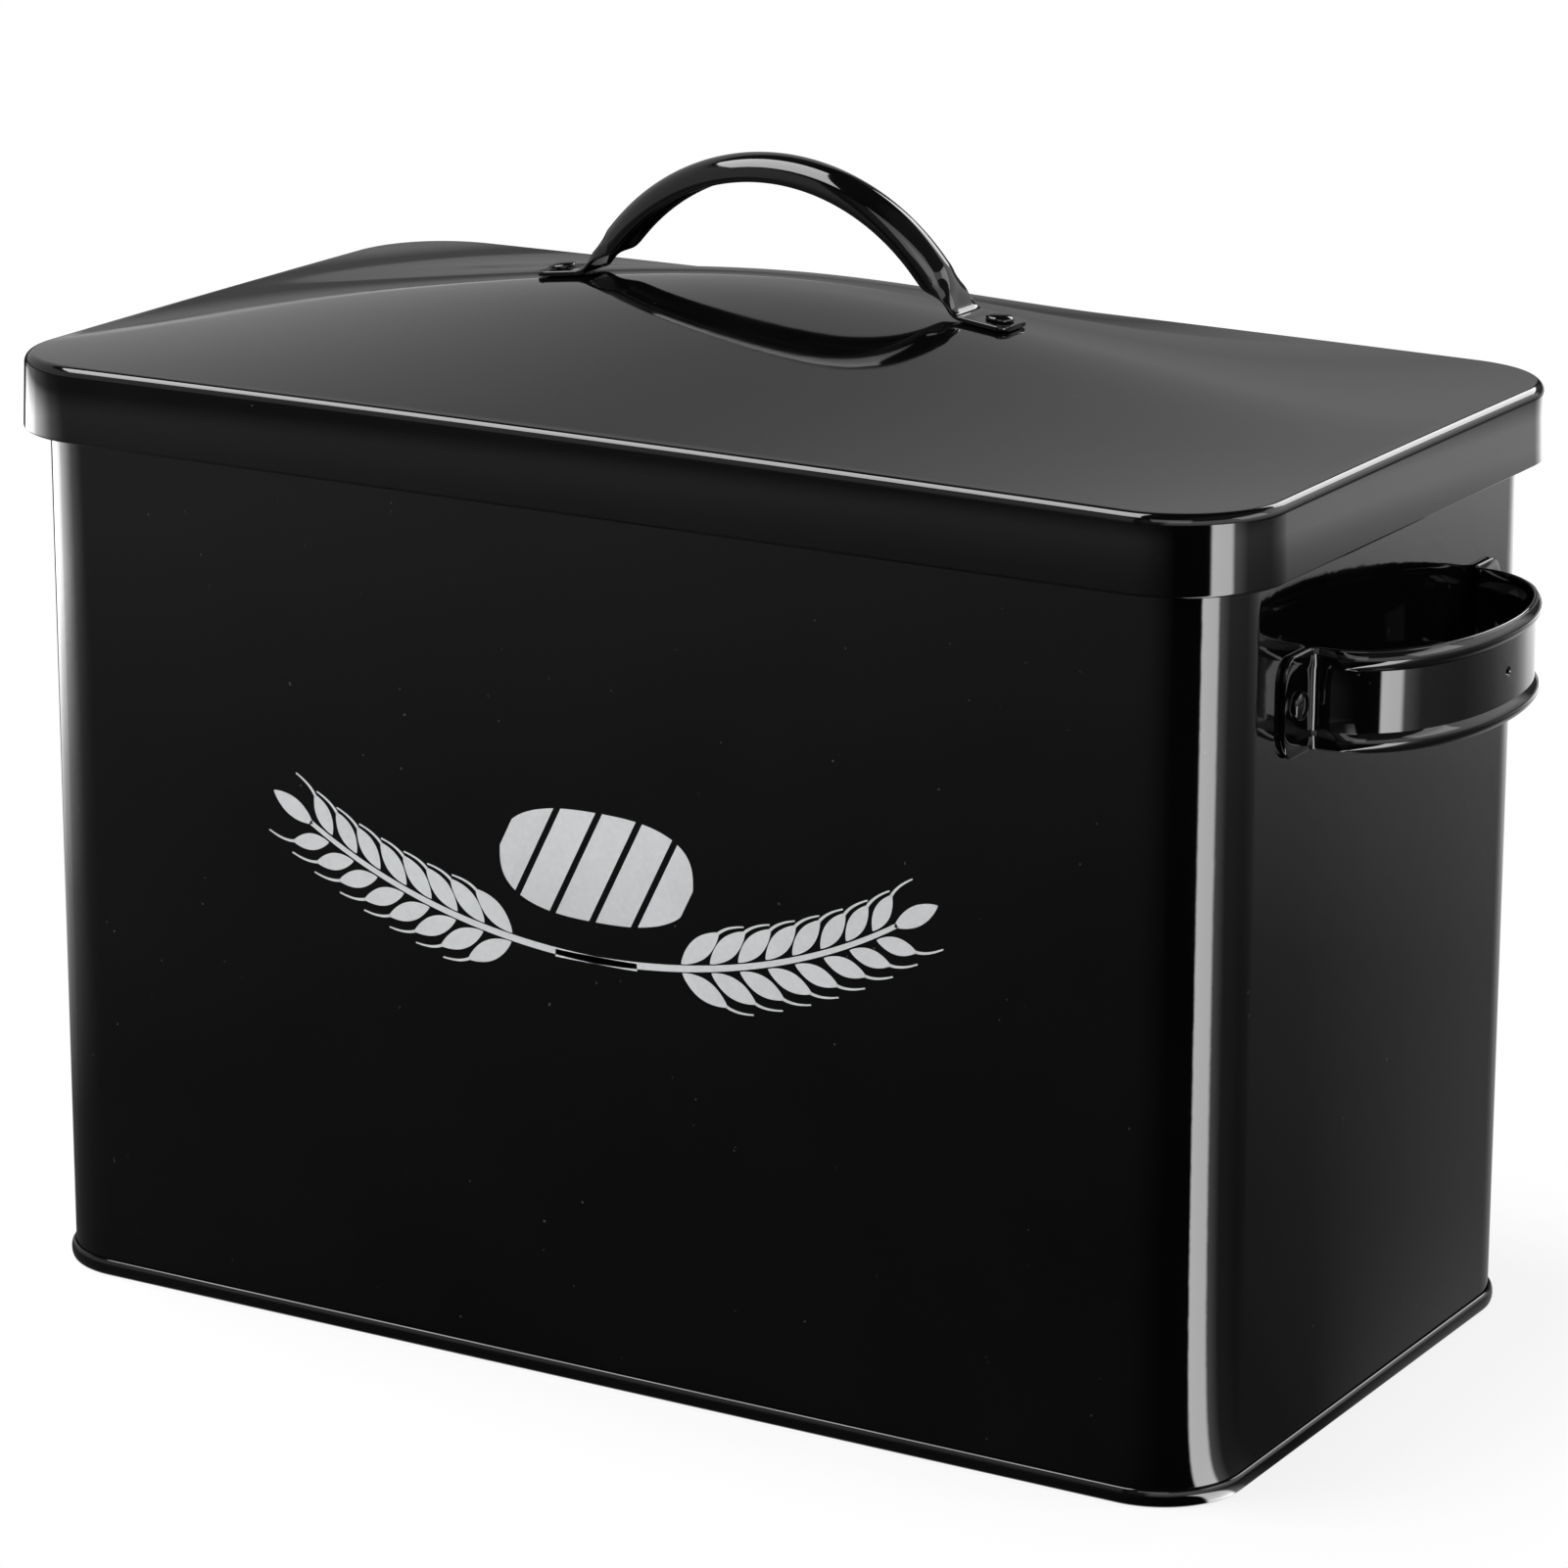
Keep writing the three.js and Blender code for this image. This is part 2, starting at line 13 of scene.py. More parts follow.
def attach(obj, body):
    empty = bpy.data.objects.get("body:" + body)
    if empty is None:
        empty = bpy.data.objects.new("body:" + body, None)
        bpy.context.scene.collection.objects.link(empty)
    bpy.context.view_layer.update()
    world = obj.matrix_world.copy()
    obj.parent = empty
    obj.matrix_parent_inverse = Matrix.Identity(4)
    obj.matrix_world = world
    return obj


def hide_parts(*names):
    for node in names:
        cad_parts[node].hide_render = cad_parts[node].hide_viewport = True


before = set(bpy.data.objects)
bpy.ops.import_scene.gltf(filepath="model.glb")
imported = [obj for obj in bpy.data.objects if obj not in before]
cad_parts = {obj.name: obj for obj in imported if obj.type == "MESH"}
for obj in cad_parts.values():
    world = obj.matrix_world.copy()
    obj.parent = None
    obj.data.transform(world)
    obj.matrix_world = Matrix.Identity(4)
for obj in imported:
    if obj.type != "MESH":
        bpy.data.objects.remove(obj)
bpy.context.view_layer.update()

# %% [markdown]
# ## Sizes
# The shapes below are worked out in millimetres and angles in radians, then scaled once when a
# mesh is made. The values are the CAD part's own, so that each fine skin fits over its solid.
# Only the foot bead's height and the strap's height and ends follow the photograph more closely.

# %% Sizes of the body
MM = 0.001
FULL_TURN = 2 * np.pi
HALF_TURN = np.pi
QUARTER_TURN = np.pi / 2
SIDES = (("left", -1), ("right", 1))
bin_length, bin_depth, rim_height = 318, 170, 226.2
corner_radius, wall_sheet, fit_gap = 20, 0.5, 0.3
curl_radius, curl_turn = 2.1, np.radians(300)
seam_half_width, seam_rise, groove_half_width = 3.5, 0.6, 0.4
pan_sheet, floor_height = 0.6, 4
foot_bead_height, foot_bead_bulge = 4, 0.3
print(f"body {bin_length} x {bin_depth} x {rim_height} mm")

# %% Sizes of the lid
lid_sheet, skirt_height, skirt_reach, skirt_flare = 0.6, 17.8, 6.3, 0.6
fold_radius, hem_height = 2.5, 4.2
dome_rise, long_crown, short_crown = 18.9, 0.9, 0.3
long_roundness, short_roundness = 0.3, 0.27
lid_seat = rim_height + fit_gap + lid_sheet
fold_start = skirt_reach - skirt_flare - fold_radius
print(f"the lid's corners lie {lid_seat:.1f} mm up")

# %% [markdown]
# ## A skin over rings
# Nearly every piece of pressed steel is one section carried round or along something. The points
# of such a surface make a grid: rows are rings, columns run round each ring. One helper turns the
# grid into a closed skin, and another puts skins into one object on its CAD body.


# %% Skin helper
def skin(rings, looped=False):
    """Closed skin over rings of equal length: face (i, j) joins points j and j + 1 of rings i and
    i + 1. Either the last ring joins the first, or a fan round its middle closes each end. The
    faces are turned over if the volume that they enclose, the sum of a . (b x c), is negative."""
    rings = np.asarray(rings, float)
    rows, columns = rings.shape[:2]
    points = rings.reshape(-1, 3)
    row, column = np.divmod(np.arange((rows if looped else rows - 1) * columns), columns)
    here, after = row * columns, (row + 1) % rows * columns
    right = (column + 1) % columns
    quads = np.stack([here + column, here + right, after + right, after + column], -1)
    fans = np.zeros((0, 3), int)
    if not looped:
        first, last = len(points), len(points) + 1
        points = np.vstack([points, rings[0].mean(0), rings[-1].mean(0)])
        edge = np.arange(columns)
        onward = (edge + 1) % columns
        end = (rows - 1) * columns
        first_fan = np.stack([np.full(columns, first), onward, edge], -1)
        last_fan = np.stack([np.full(columns, last), end + edge, end + onward], -1)
        fans = np.vstack([first_fan, last_fan])
    triangles = np.vstack([fans, quads[:, [0, 1, 2]], quads[:, [0, 2, 3]]])
    a, b, c = (points[triangles[:, corner]] for corner in range(3))
    if np.sum(a * np.cross(b, c)) < 0:
        quads, fans = quads[:, ::-1], fans[:, ::-1]
    return points, quads, fans


# %% Piece helpers
def in_scene(name, data):
    """A new object with this data, linked into the scene."""
    obj = bpy.data.objects.new(name, data)
    bpy.context.scene.collection.objects.link(obj)
    return obj


def piece(name, skins, body, slot, stands_for=(), crease=32):
    """Make one object of skins in millimetres, with its slot's finish, shaded smooth but for edges
    sharper than the crease angle in degrees. It rides on a CAD body and stands for the named CAD
    nodes."""
    points = np.vstack([part[0] for part in skins]) * MM
    faces = []
    start = 0
    for part_points, quads, fans in skins:
        faces += (quads + start).tolist() + (fans + start).tolist()
        start += len(part_points)
    mesh = bpy.data.meshes.new(name)
    mesh.from_pydata(points.tolist(), [], faces)
    mesh.polygons.foreach_set("use_smooth", np.ones(len(faces), bool))
    mesh.set_sharp_from_angle(angle=np.radians(crease))
    mesh.materials.append(finishes[slot])
    obj = in_scene(name, mesh)
    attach(obj, body)
    if stands_for:
        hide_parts(*stands_for)
    print(f"{name}: {len(faces)} faces, {np.ptp(points, 0).round(4)} m")


# %% [markdown]
# ## Gloss black enamel
# Stoved enamel is a dark, hard, glossy coat. Up close it isn't perfect: it flows into a faint
# orange peel, its gloss is a little uneven, and fine dust has settled in it. The finish is one
# function, so that the body, lid, handles and rivets can differ slightly in gloss, as dipped and
# sprayed pieces do. All patterns read Object coordinates, in metres, so they stay on the piece.


# %% Node helpers
def node_material(name):
    """A new material, with its node tree, nodes and links."""
    material = bpy.data.materials.new(name)
    material.use_nodes = True
    tree = material.node_tree
    return material, tree, tree.nodes, tree.links


def feed(tree, sockets, values):
    """Link each value that is a socket itself to its socket, and set the others."""
    for socket, value in zip(sockets, values):
        if isinstance(value, bpy.types.NodeSocket):
            tree.links.new(value, socket)
        else:
            socket.default_value = value


def math_node(tree, operation, *values):
    """The result of a Math node whose inputs are sockets or numbers."""
    node = tree.nodes.new("ShaderNodeMath")
    node.operation = operation
    feed(tree, node.inputs, values)
    return node.outputs["Value"]


def levels_along(tree, source, stops):
    """Three levels at once, as the red, green and blue of a ramp over the source from 0 to 1. Each
    stop is a position and its levels, where the third one may be left out."""
    ramp = tree.nodes.new("ShaderNodeValToRGB")
    elements = ramp.color_ramp.elements
    while len(elements) < len(stops):
        elements.new(0.5)
    for element, (position, *levels) in zip(elements, stops):
        element.position = position
        element.color = (levels + [1, 1])[:4]
    parts = tree.nodes.new("ShaderNodeSeparateColor")
    tree.links.new(source, ramp.inputs["Fac"])
    tree.links.new(ramp.outputs["Color"], parts.inputs["Color"])
    return parts.outputs


print("helpers for materials, sums and ramps")


# %% Enamel
cloud_scale, dust_scale, peel_scale, swell_scale = 28, 620, 210, 34


def enamel(name, black, roughness, peel, swell, seed):
    """Gloss enamel: noise clouds vary the black and the roughness, a fine noise cut off high up
    leaves dust specks, and a fine and a broad noise, peel and swell mm high, make the height."""
    material, tree, nodes, links = node_material(name)
    shader = nodes["Principled BSDF"]
    shader.inputs["IOR"].default_value = 1.5
    place = nodes.new("ShaderNodeTexCoord")
    shift = nodes.new("ShaderNodeMapping")
    shift.inputs["Location"].default_value = (seed, seed * 0.7, seed * 0.3)
    links.new(place.outputs["Object"], shift.inputs["Vector"])

    def noise(scale, detail):
        node = nodes.new("ShaderNodeTexNoise")
        node.inputs["Scale"].default_value = scale
        node.inputs["Detail"].default_value = detail
        links.new(shift.outputs["Vector"], node.inputs["Vector"])
        return node.outputs["Fac"]

    def span(source, low, high, to_low, to_high):
        node = nodes.new("ShaderNodeMapRange")
        feed(tree, node.inputs, (source, low, high, to_low, to_high))
        return node.outputs["Result"]

    def blend(share, one, other):
        node = nodes.new("ShaderNodeMix")
        node.data_type = "RGBA"
        feed(tree, (node.inputs["Factor"], node.inputs[6], node.inputs[7]), (share, one, other))
        return node.outputs[2]

    clouds = noise(cloud_scale, 4)
    dust = span(noise(dust_scale, 1), 0.8, 0.84, 0, 1)
    deep = (*black, 1)
    pale = tuple(1.5 * part for part in black) + (1,)
    lint = (0.05, 0.049, 0.047, 1)
    coat = blend(span(clouds, 0.3, 0.7, 0, 1), deep, pale)
    links.new(blend(dust, coat, lint), shader.inputs["Base Color"])
    uneven = span(clouds, 0.25, 0.75, roughness - 0.015, roughness + 0.02)
    links.new(uneven, shader.inputs["Roughness"])
    swells = span(noise(swell_scale, 1), 0, 1, 0, swell / peel)
    waves = math_node(tree, "ADD", noise(peel_scale, 2), swells)
    bump = nodes.new("ShaderNodeBump")
    bump.inputs["Distance"].default_value = peel * MM
    links.new(waves, bump.inputs["Height"])
    links.new(bump.outputs["Normal"], shader.inputs["Normal"])
    print(f"{name}: black {black}, roughness about {roughness}")
    return material


# Each part's black, roughness, peel, swell and seed
finishes = {
    f"{part}_enamel": enamel(f"{part} gloss black", *values)
    for part, *values in (
        ("body", (0.0012, 0.0012, 0.0013), 0.045, 0.02, 0.012, 1.3),
        ("lid", (0.0014, 0.0013, 0.0013), 0.05, 0.005, 0.012, 2.9),
        ("handle", (0.0014, 0.0014, 0.0014), 0.045, 0.003, 0.012, 4.1),
        ("rivet", (0.0016, 0.0016, 0.0016), 0.07, 0.003, 0.012, 5.6),
    )
}

# %% [markdown]
# ## The outline that the body and lid share
# Seen from above, the bin is a rectangle with round corners. Points crowd towards the ends of each
# straight, so that the flats stay flat right up to the corners and the reflections don't bend.


# %% Outline
def outline(corner_steps, long_steps, short_steps, seam_places=()):
    """Places and outward directions round the body. Each corner is a quarter circle, centre plus
    radius times (cos, sin); each straight is spaced as half a cosine wave, plus seam places."""
    inner = np.array([bin_length / 2 - corner_radius, bin_depth / 2 - corner_radius])
    sides = np.array([[1, -1], [1, 1], [-1, 1], [-1, -1]])
    places, outs = [], []
    for index in range(4):
        side, following = sides[index], sides[(index + 1) % 4]
        turn = QUARTER_TURN * (index - 1 + np.linspace(0, 1, corner_steps + 1))
        out = np.stack([np.cos(turn), np.sin(turn)], -1)
        arc = side * inner + corner_radius * out
        steps = short_steps if side[0] == following[0] else long_steps
        share = 0.5 - 0.5 * np.cos(HALF_TURN * np.arange(1, steps) / steps)
        if index == 1:
            seam_shares = 0.5 - np.asarray(seam_places, float) / (2 * inner[0])
            share = np.unique(np.concatenate([share, seam_shares]))
        straight = arc[-1] + share[:, None] * (following - side) * inner
        places += [arc, straight]
        outs += [out, np.repeat(out[-1:], len(share), 0)]
    return np.vstack(places), np.vstack(outs)


def follow(path, reaches, heights):
    """Rings round a path: place plus outward direction times reach, at a height. Reaches and
    heights are one number per ring, or a number per ring and place."""
    places, outs = path
    reaches, heights = (
        np.asarray(values, float).reshape(len(values), -1) for values in (reaches, heights)
    )
    flat = places[None] + outs[None] * reaches[..., None]
    rise = np.broadcast_to(heights, flat.shape[:2])
    return np.concatenate([flat, rise[..., None]], -1)


def arc(reach, height, radius, start, end, steps):
    """Reach and height along a round stretch of a section, from one angle to another."""
    turn = np.linspace(start, end, steps + 1)
    return np.stack([reach + radius * np.cos(turn), height + radius * np.sin(turn)], -1)


print("outline with 8 steps a corner:", len(outline(8, 4, 4)[0]), "places")

# %% [markdown]
# ## The body wall
# One sheet goes round the bin and meets itself in a lock seam at the middle of the back. Outside
# only a hairline groove shows; inside, the folded sheet makes a flat band. The top edge is curled
# outwards into a rim that can't cut a hand. The section is carried round the outline, and the
# seam is a change of reach in the columns near it.


# %% Body wall
def body_wall():
    """The section goes up the inner skin, round the curl and down the outer skin. Near the seam
    the inner skin steps in by the fold's rise and the outer skin dips as a V, depth times
    1 - |x| / half width."""
    foot, fold_foot = pan_sheet + fit_gap, floor_height + fit_gap
    fold_top = rim_height - 2 * curl_radius
    lead = 0.1
    levels = np.array([foot, fold_foot - lead, fold_foot + lead, 60, 120, 180, fold_top])
    centre, reach = rim_height - curl_radius, curl_radius - wall_sheet
    curl_end = HALF_TURN - curl_turn
    outer = arc(reach, centre, curl_radius, HALF_TURN, curl_end, 30)
    inner = arc(reach, centre, curl_radius - wall_sheet, curl_end, HALF_TURN, 30)
    up = np.stack([np.full(len(levels), -wall_sheet), levels], -1)
    down = np.stack([np.zeros(len(levels)), levels[::-1]], -1)
    section = np.vstack([up, outer, inner, down])
    ramp = 0.3
    edges = np.array([groove_half_width, seam_half_width, seam_half_width + ramp])
    path = outline(24, 40, 30, np.concatenate([-edges, [0], edges]))
    at_back = path[1][:, 1] > 0.999
    off_middle = np.abs(path[0][:, 0])
    fold = np.clip((seam_half_width + ramp - off_middle) / ramp, 0, 1) * seam_rise
    groove = np.clip(1 - off_middle / groove_half_width, 0, 1) * groove_half_width
    on_seam = (section[:, 1] > fold_foot) & (section[:, 1] < fold_top)
    is_inside = np.arange(len(section)) < len(levels)
    change = np.where(is_inside[:, None], fold, groove) * at_back * on_seam[:, None]
    return skin(follow(path, section[:, :1] - change, section[:, 1]), looped=True)


piece("bin_wall", [body_wall()], "bin", "body_enamel", ["body_wall"])

# %% [markdown]
# ## The base pan
# A shallow pan closes the bottom. Its edge runs down inside the wall, under it and up again
# outside, and is rolled into the rounded bead that shows round the foot. The bin stands on the
# underside of that bead, with its floor a few millimetres up.


# %% Base pan
def base_pan():
    """The section starts under the floor, goes round the foot bead, half an ellipse with half the
    bead's height as its upright half axis, and ends on the floor inside."""
    inside, half_height = -wall_sheet - fit_gap, foot_bead_height / 2
    under = [[inside - pan_sheet, floor_height - pan_sheet], [inside - pan_sheet, 0]]
    half_axes = [pan_sheet + foot_bead_bulge, half_height]
    round_bead = arc(0, 0, 1, -QUARTER_TURN, QUARTER_TURN, 28)
    bead = [fit_gap, half_height] + round_bead * half_axes
    top = [[fit_gap, pan_sheet], [inside, pan_sheet], [inside, floor_height]]
    section = np.vstack([under, bead, top])
    return skin(follow(outline(24, 24, 16), section[:, 0], section[:, 1]))


piece("bin_foot_pan", [base_pan()], "bin", "body_enamel", ["base_pan"])

# %% [markdown]
# ## The lid
# The lid is one pressing. Its top is a cushion that falls to all four sides from a rounded
# middle, almost straight, right out to the edge. There it folds over a tight radius into a skirt
# whose bottom edge is hemmed inwards. The cushion is a product of two rounded ridges, one for each
# direction, and each ridge is a hyperbola: round over its top and straight further down. That
# gives the soft hips that run to the corners, without any sculpting.


# %% Lid
def ridge(way, roundness):
    """1 on the ridge and 0 at its foot: 1 - f(w) / f(1), with f(w) = sqrt(w^2 + r^2) - r."""
    way = np.minimum(np.abs(way), 1)
    return 1 - (np.hypot(way, roundness) - roundness) / (np.hypot(1, roundness) - roundness)


def lid_height(x, y):
    """Border crown plus rise * ridge(u) * ridge(v), where u and v are the distances from the
    middle as shares of the half length and half depth."""
    u = x / (bin_length / 2 + fold_start)
    v = y / (bin_depth / 2 + fold_start)
    crown = long_crown * (1 - u**2) + short_crown * (1 - v**2)
    return crown + dome_rise * ridge(u, long_roundness) * ridge(v, short_roundness)


def lid_shell():
    """Rings go from the middle of the underside out to the fold, down inside the skirt, round the
    hem's lip and back over the top."""
    path = outline(24, 64, 40)
    border = path[0] + path[1] * fold_start
    share = np.linspace(0, 1, 73)[1:][:, None, None]
    flat = border[None] * share
    top = lid_seat + lid_height(flat[..., 0], flat[..., 1])
    outer_dome = np.concatenate([flat, top[..., None]], -1)
    inner_dome = outer_dome - [0, 0, lid_sheet]
    edge = lid_seat + lid_height(border[:, 0], border[:, 1])

    def fold(radius):
        turn = np.linspace(QUARTER_TURN, 0, 15)[1:]
        reach = fold_start + radius * np.cos(turn)
        drop = fold_radius - radius * np.sin(turn)
        return follow(path, reach, edge[None] - drop[:, None])

    hem_face = skirt_reach - 2 * lid_sheet - fit_gap / 2
    slope = skirt_flare / (skirt_height - fold_radius)
    lip_radius = (skirt_reach - hem_face) / 2
    lip_height = lid_seat + lip_radius - skirt_height
    lip = arc(hem_face + lip_radius, lip_height, lip_radius, -HALF_TURN, 0, 12)
    hem_top = lid_seat + hem_height - skirt_height
    inner_reach = skirt_reach - slope * (hem_height + lid_sheet) - lid_sheet
    hem = [[inner_reach, hem_top + lid_sheet], [hem_face - slope * hem_height, hem_top]]
    skirt = np.vstack([hem, lip])
    rings = [
        inner_dome,
        fold(fold_radius - lid_sheet),
        follow(path, skirt[:, 0], skirt[:, 1]),
        fold(fold_radius)[::-1],
        outer_dome[::-1],
    ]
    return skin(np.concatenate(rings))


piece("lid_pressing", [lid_shell()], "lid", "lid_enamel", ["lid_shell"])

# %% [markdown]
# ## The strap handle on the lid
# A steel strap is pressed into a half-round channel where the hand holds it. Towards each end the
# channel opens out flat, a small dimple stiffens the bend, and a flat tab, tilted to lie along the
# lid, takes a rivet. The strap is a section carried along a bent line, with a share that says how
# much of a channel the section is at each place.

# %% Sizes of the strap
strap_sheet, strap_width, channel_depth = 1.1, 12, 6
arch_height, arch_radius, leg_angle, tab_tilt = 32.0, 55.5, *np.radians((48.7, 7.2))
tab_bend_radius, tab_length, tab_end_rounding, tab_end_share = 4, 12, 2.2, 0.72
tab_rivet_inset, flattening_length, settling_length, channel_at_bend = 4.6, 13, 8, 0.25
dimple_depth, dimple_length, dimple_width_share = 0.8, 13, 0.6
print(f"the arch stands {arch_height} mm over its feet")


# %% Strap handle
def smooth(share):
    """Smooth step: 3 s^2 - 2 s^3 of the share, held between 0 and 1."""
    share = np.clip(share, 0, 1)
    return share * share * (3 - 2 * share)


def strap_line():
    """Half of the strap's middle line as columns x, z, slope, distance to the bend and share of
    the rounded end, from the arch's middle at z = 0: an arc, a straight leg, a bend and a tab."""

    def outwards(turn):
        return np.stack([np.cos(turn), -np.sin(turn)], -1)

    def upwards(turn):
        return np.stack([np.sin(turn), np.cos(turn)], -1)

    def stretch(places, turn, to_bend, share=0):
        columns = [np.broadcast_to(part, len(places)) for part in (turn, to_bend, share)]
        return np.column_stack([places, *columns])

    leg_start = arch_radius * (upwards(leg_angle) - [0, 1])
    corner_drop = arch_height - channel_depth / 2
    bend_reach = tab_bend_radius * np.tan((leg_angle - tab_tilt) / 2)
    leg = (leg_start[1] + corner_drop) / np.sin(leg_angle) - bend_reach
    corner = leg_start + outwards(leg_angle) * (leg + bend_reach)
    tab_start = corner + outwards(tab_tilt) * bend_reach
    turn = np.linspace(0, leg_angle, 41)
    arch = stretch(
        arch_radius * (upwards(turn) - [0, 1]), turn, leg + arch_radius * (leg_angle - turn)
    )
    run = np.linspace(0, leg, 22)[1:-1]
    straight = stretch(leg_start + outwards(leg_angle) * run[:, None], leg_angle, leg - run)
    turn = np.linspace(leg_angle, tab_tilt, 15)
    bend = stretch(
        tab_start + tab_bend_radius * (upwards(tab_tilt) - upwards(turn)),
        turn,
        -tab_bend_radius * (leg_angle - turn),
    )
    share = 1 - (1 - np.linspace(0, 1, 9)) ** 2
    end_run = tab_length - tab_end_rounding * (1 - share)
    run = np.concatenate([np.linspace(0, end_run[0], 9)[1:-1], end_run])
    share = np.concatenate([np.zeros(7), share])
    tab = stretch(tab_start + outwards(tab_tilt) * run[:, None], tab_tilt, -run, share)
    return np.concatenate([arch, straight, bend, tab])


def strap_rivet():
    """The right-hand rivet's x and height on the tab's top, with the strap's underside the
    fitting gap above the lid there, and how far the strap's line is lifted for that."""
    tip = strap_line()[-1]
    x = tip[0] - tab_rivet_inset * np.cos(tab_tilt)
    z = tip[1] + tab_rivet_inset * np.sin(tab_tilt)
    top = lid_seat + lid_height(x, 0) + (strap_sheet + fit_gap) / np.cos(tab_tilt)
    return x, top, top - z


def strap_handle():
    """Across the strap, s goes from -1 to 1. The outer line rises as depth * channel *
    (cos(s pi/2) - 1/2) less the dimple, and its half depth eases away towards the bend, so that
    the channel's edges settle into the tab. The inner line lies one sheet below, and a half
    ellipse rounds each cut edge."""
    line = strap_line() + [0, strap_rivet()[2], 0, 0, 0]
    line = np.concatenate([line[:0:-1] * [-1, 1, -1, 1, 1], line])
    x, z, turn, to_bend, end_share = (line[:, [column]] for column in range(5))
    s = np.linspace(-1, 1, 31)[None]
    channel = smooth(to_bend / flattening_length + channel_at_bend)
    settling = 0.5 * smooth(to_bend / settling_length)
    round_off = np.cos(QUARTER_TURN * s)
    place = np.abs(to_bend - dimple_length / 4) / (dimple_length / 2)
    dimple = np.cos(QUARTER_TURN * np.minimum(place, 1)) ** 2
    dimple = dimple * np.clip(1 - (s / dimple_width_share) ** 2, 0, 1)
    edge_bulge = 0.3
    half = strap_width / 2 * np.sqrt(1 - (end_share * tab_end_share) ** 2) - edge_bulge
    spread = s * (1 - channel) + np.sin(QUARTER_TURN * s) * channel
    outer_rise = channel_depth * channel * (round_off - settling) - dimple_depth * dimple
    inner_rise = outer_rise - strap_sheet * (1 - channel * (1 - round_off))
    outer = np.stack([spread * half, outer_rise], -1)
    inner = np.stack([spread * (half - strap_sheet * channel), inner_rise], -1)

    def rounded_edge(side, steps=7):
        column = -1 if side > 0 else 0
        middle = (outer[:, column] + inner[:, column]) / 2
        arm = (outer[:, column] - inner[:, column]) / 2
        out = side * np.stack([arm[:, 1], -arm[:, 0]], -1) * edge_bulge * 2 / strap_sheet
        angle = np.linspace(0, HALF_TURN, steps)[1:-1][None, :, None]
        return middle[:, None] + arm[:, None] * np.cos(angle) + out[:, None] * np.sin(angle)

    section = np.concatenate(
        [outer, rounded_edge(1), inner[:, ::-1], rounded_edge(-1)[:, ::-1]], 1
    )
    across, rise = section[..., 0], section[..., 1]
    return skin(np.stack([x + np.sin(turn) * rise, across, z + np.cos(turn) * rise], -1))


piece("lid_strap", [strap_handle()], "lid", "handle_enamel", ["lid_handle"], 40)

# %% [markdown]
# ## The band handles on the ends
# Each end has a wide band bent into a loop that four fingers fit through. A half-round bead runs
# along its top and bottom edge, outwards, to stiffen it and spare the fingers. The beads are
# squashed where the band bends into its feet and fade out on the feet, which carry the rivets.
# A small hole at the middle of each band is where it hung on a hook in the enamelling bath.

# %% Sizes of the bands
band_sheet, band_height, band_drop, band_set_back, band_reach = 1, 23.2, 48.6, 2.5, 30
band_loop_power, bead_height, bead_rise = 2.1, 4.6, 1.3
bead_fade_length, bead_bend_share, band_edge_rounding = 9, 0.25, 0.35
foot_length, foot_bend_radius, foot_end_length, foot_end_height = 14.5, 2.2, 4.5, 6
foot_rivet_inset, foot_corner_clearance, hang_hole_radius = 7.4, 6, 1.1
foot_end_reach = bin_depth / 2 - corner_radius - foot_corner_clearance - band_set_back
half_loop = foot_end_reach - foot_length
rivet_spread = half_loop + foot_rivet_inset
band_level = rim_height - band_drop
print(f"each band lies {band_level:.1f} mm up, with rivets {2 * rivet_spread:.1f} mm apart")


# %% Band line
def band_line():
    """Half of the band's middle line seen from above, as columns x, y, turn, distance past the
    bend and share of the rounded end: a flat foot, a bend and half of a superellipse,
    (x / reach)^2.1 + (y / half)^2.1 = 1."""
    foot_x = fit_gap + band_sheet / 2
    loop_x = foot_x + foot_bend_radius
    reach = band_reach - bead_rise - band_sheet / 2 - loop_x
    bend_start = half_loop + foot_bend_radius
    share = np.linspace(0, 1, 13)
    end_y = foot_end_reach - foot_end_length * (1 - np.cos(QUARTER_TURN * share))
    between = np.linspace(end_y[-1], bend_start, 14)[1:-1]
    foot_y = np.concatenate([end_y, between])
    end_share = np.concatenate([1 - (foot_end_reach - end_y) / foot_end_length, 0 * between])
    foot = [0 * foot_y + foot_x, -foot_y, 0 * foot_y, bend_start - foot_y, end_share]
    turn = np.linspace(0, QUARTER_TURN, 13)
    bend = [
        foot_x + foot_bend_radius * (1 - np.cos(turn)),
        foot_bend_radius * np.sin(turn) - bend_start,
        turn,
        0 * turn,
        0 * turn,
    ]
    angle = np.linspace(0, QUARTER_TURN, 46)[1:]
    along = np.sin(angle) ** (2 / band_loop_power)
    across = np.clip(np.cos(angle), 0, 1) ** (2 / band_loop_power)
    across[-1] = 0
    steep = along ** (band_loop_power - 1) / reach
    level = across ** (band_loop_power - 1) / half_loop
    loop = [
        loop_x + reach * along,
        -half_loop * across,
        np.arctan2(level, steep),
        reach * along,
        0 * angle,
    ]
    half = np.concatenate([foot, bend, loop], 1).T
    return np.concatenate([half, half[-2::-1] * [1, -1, -1, 1, 1]])


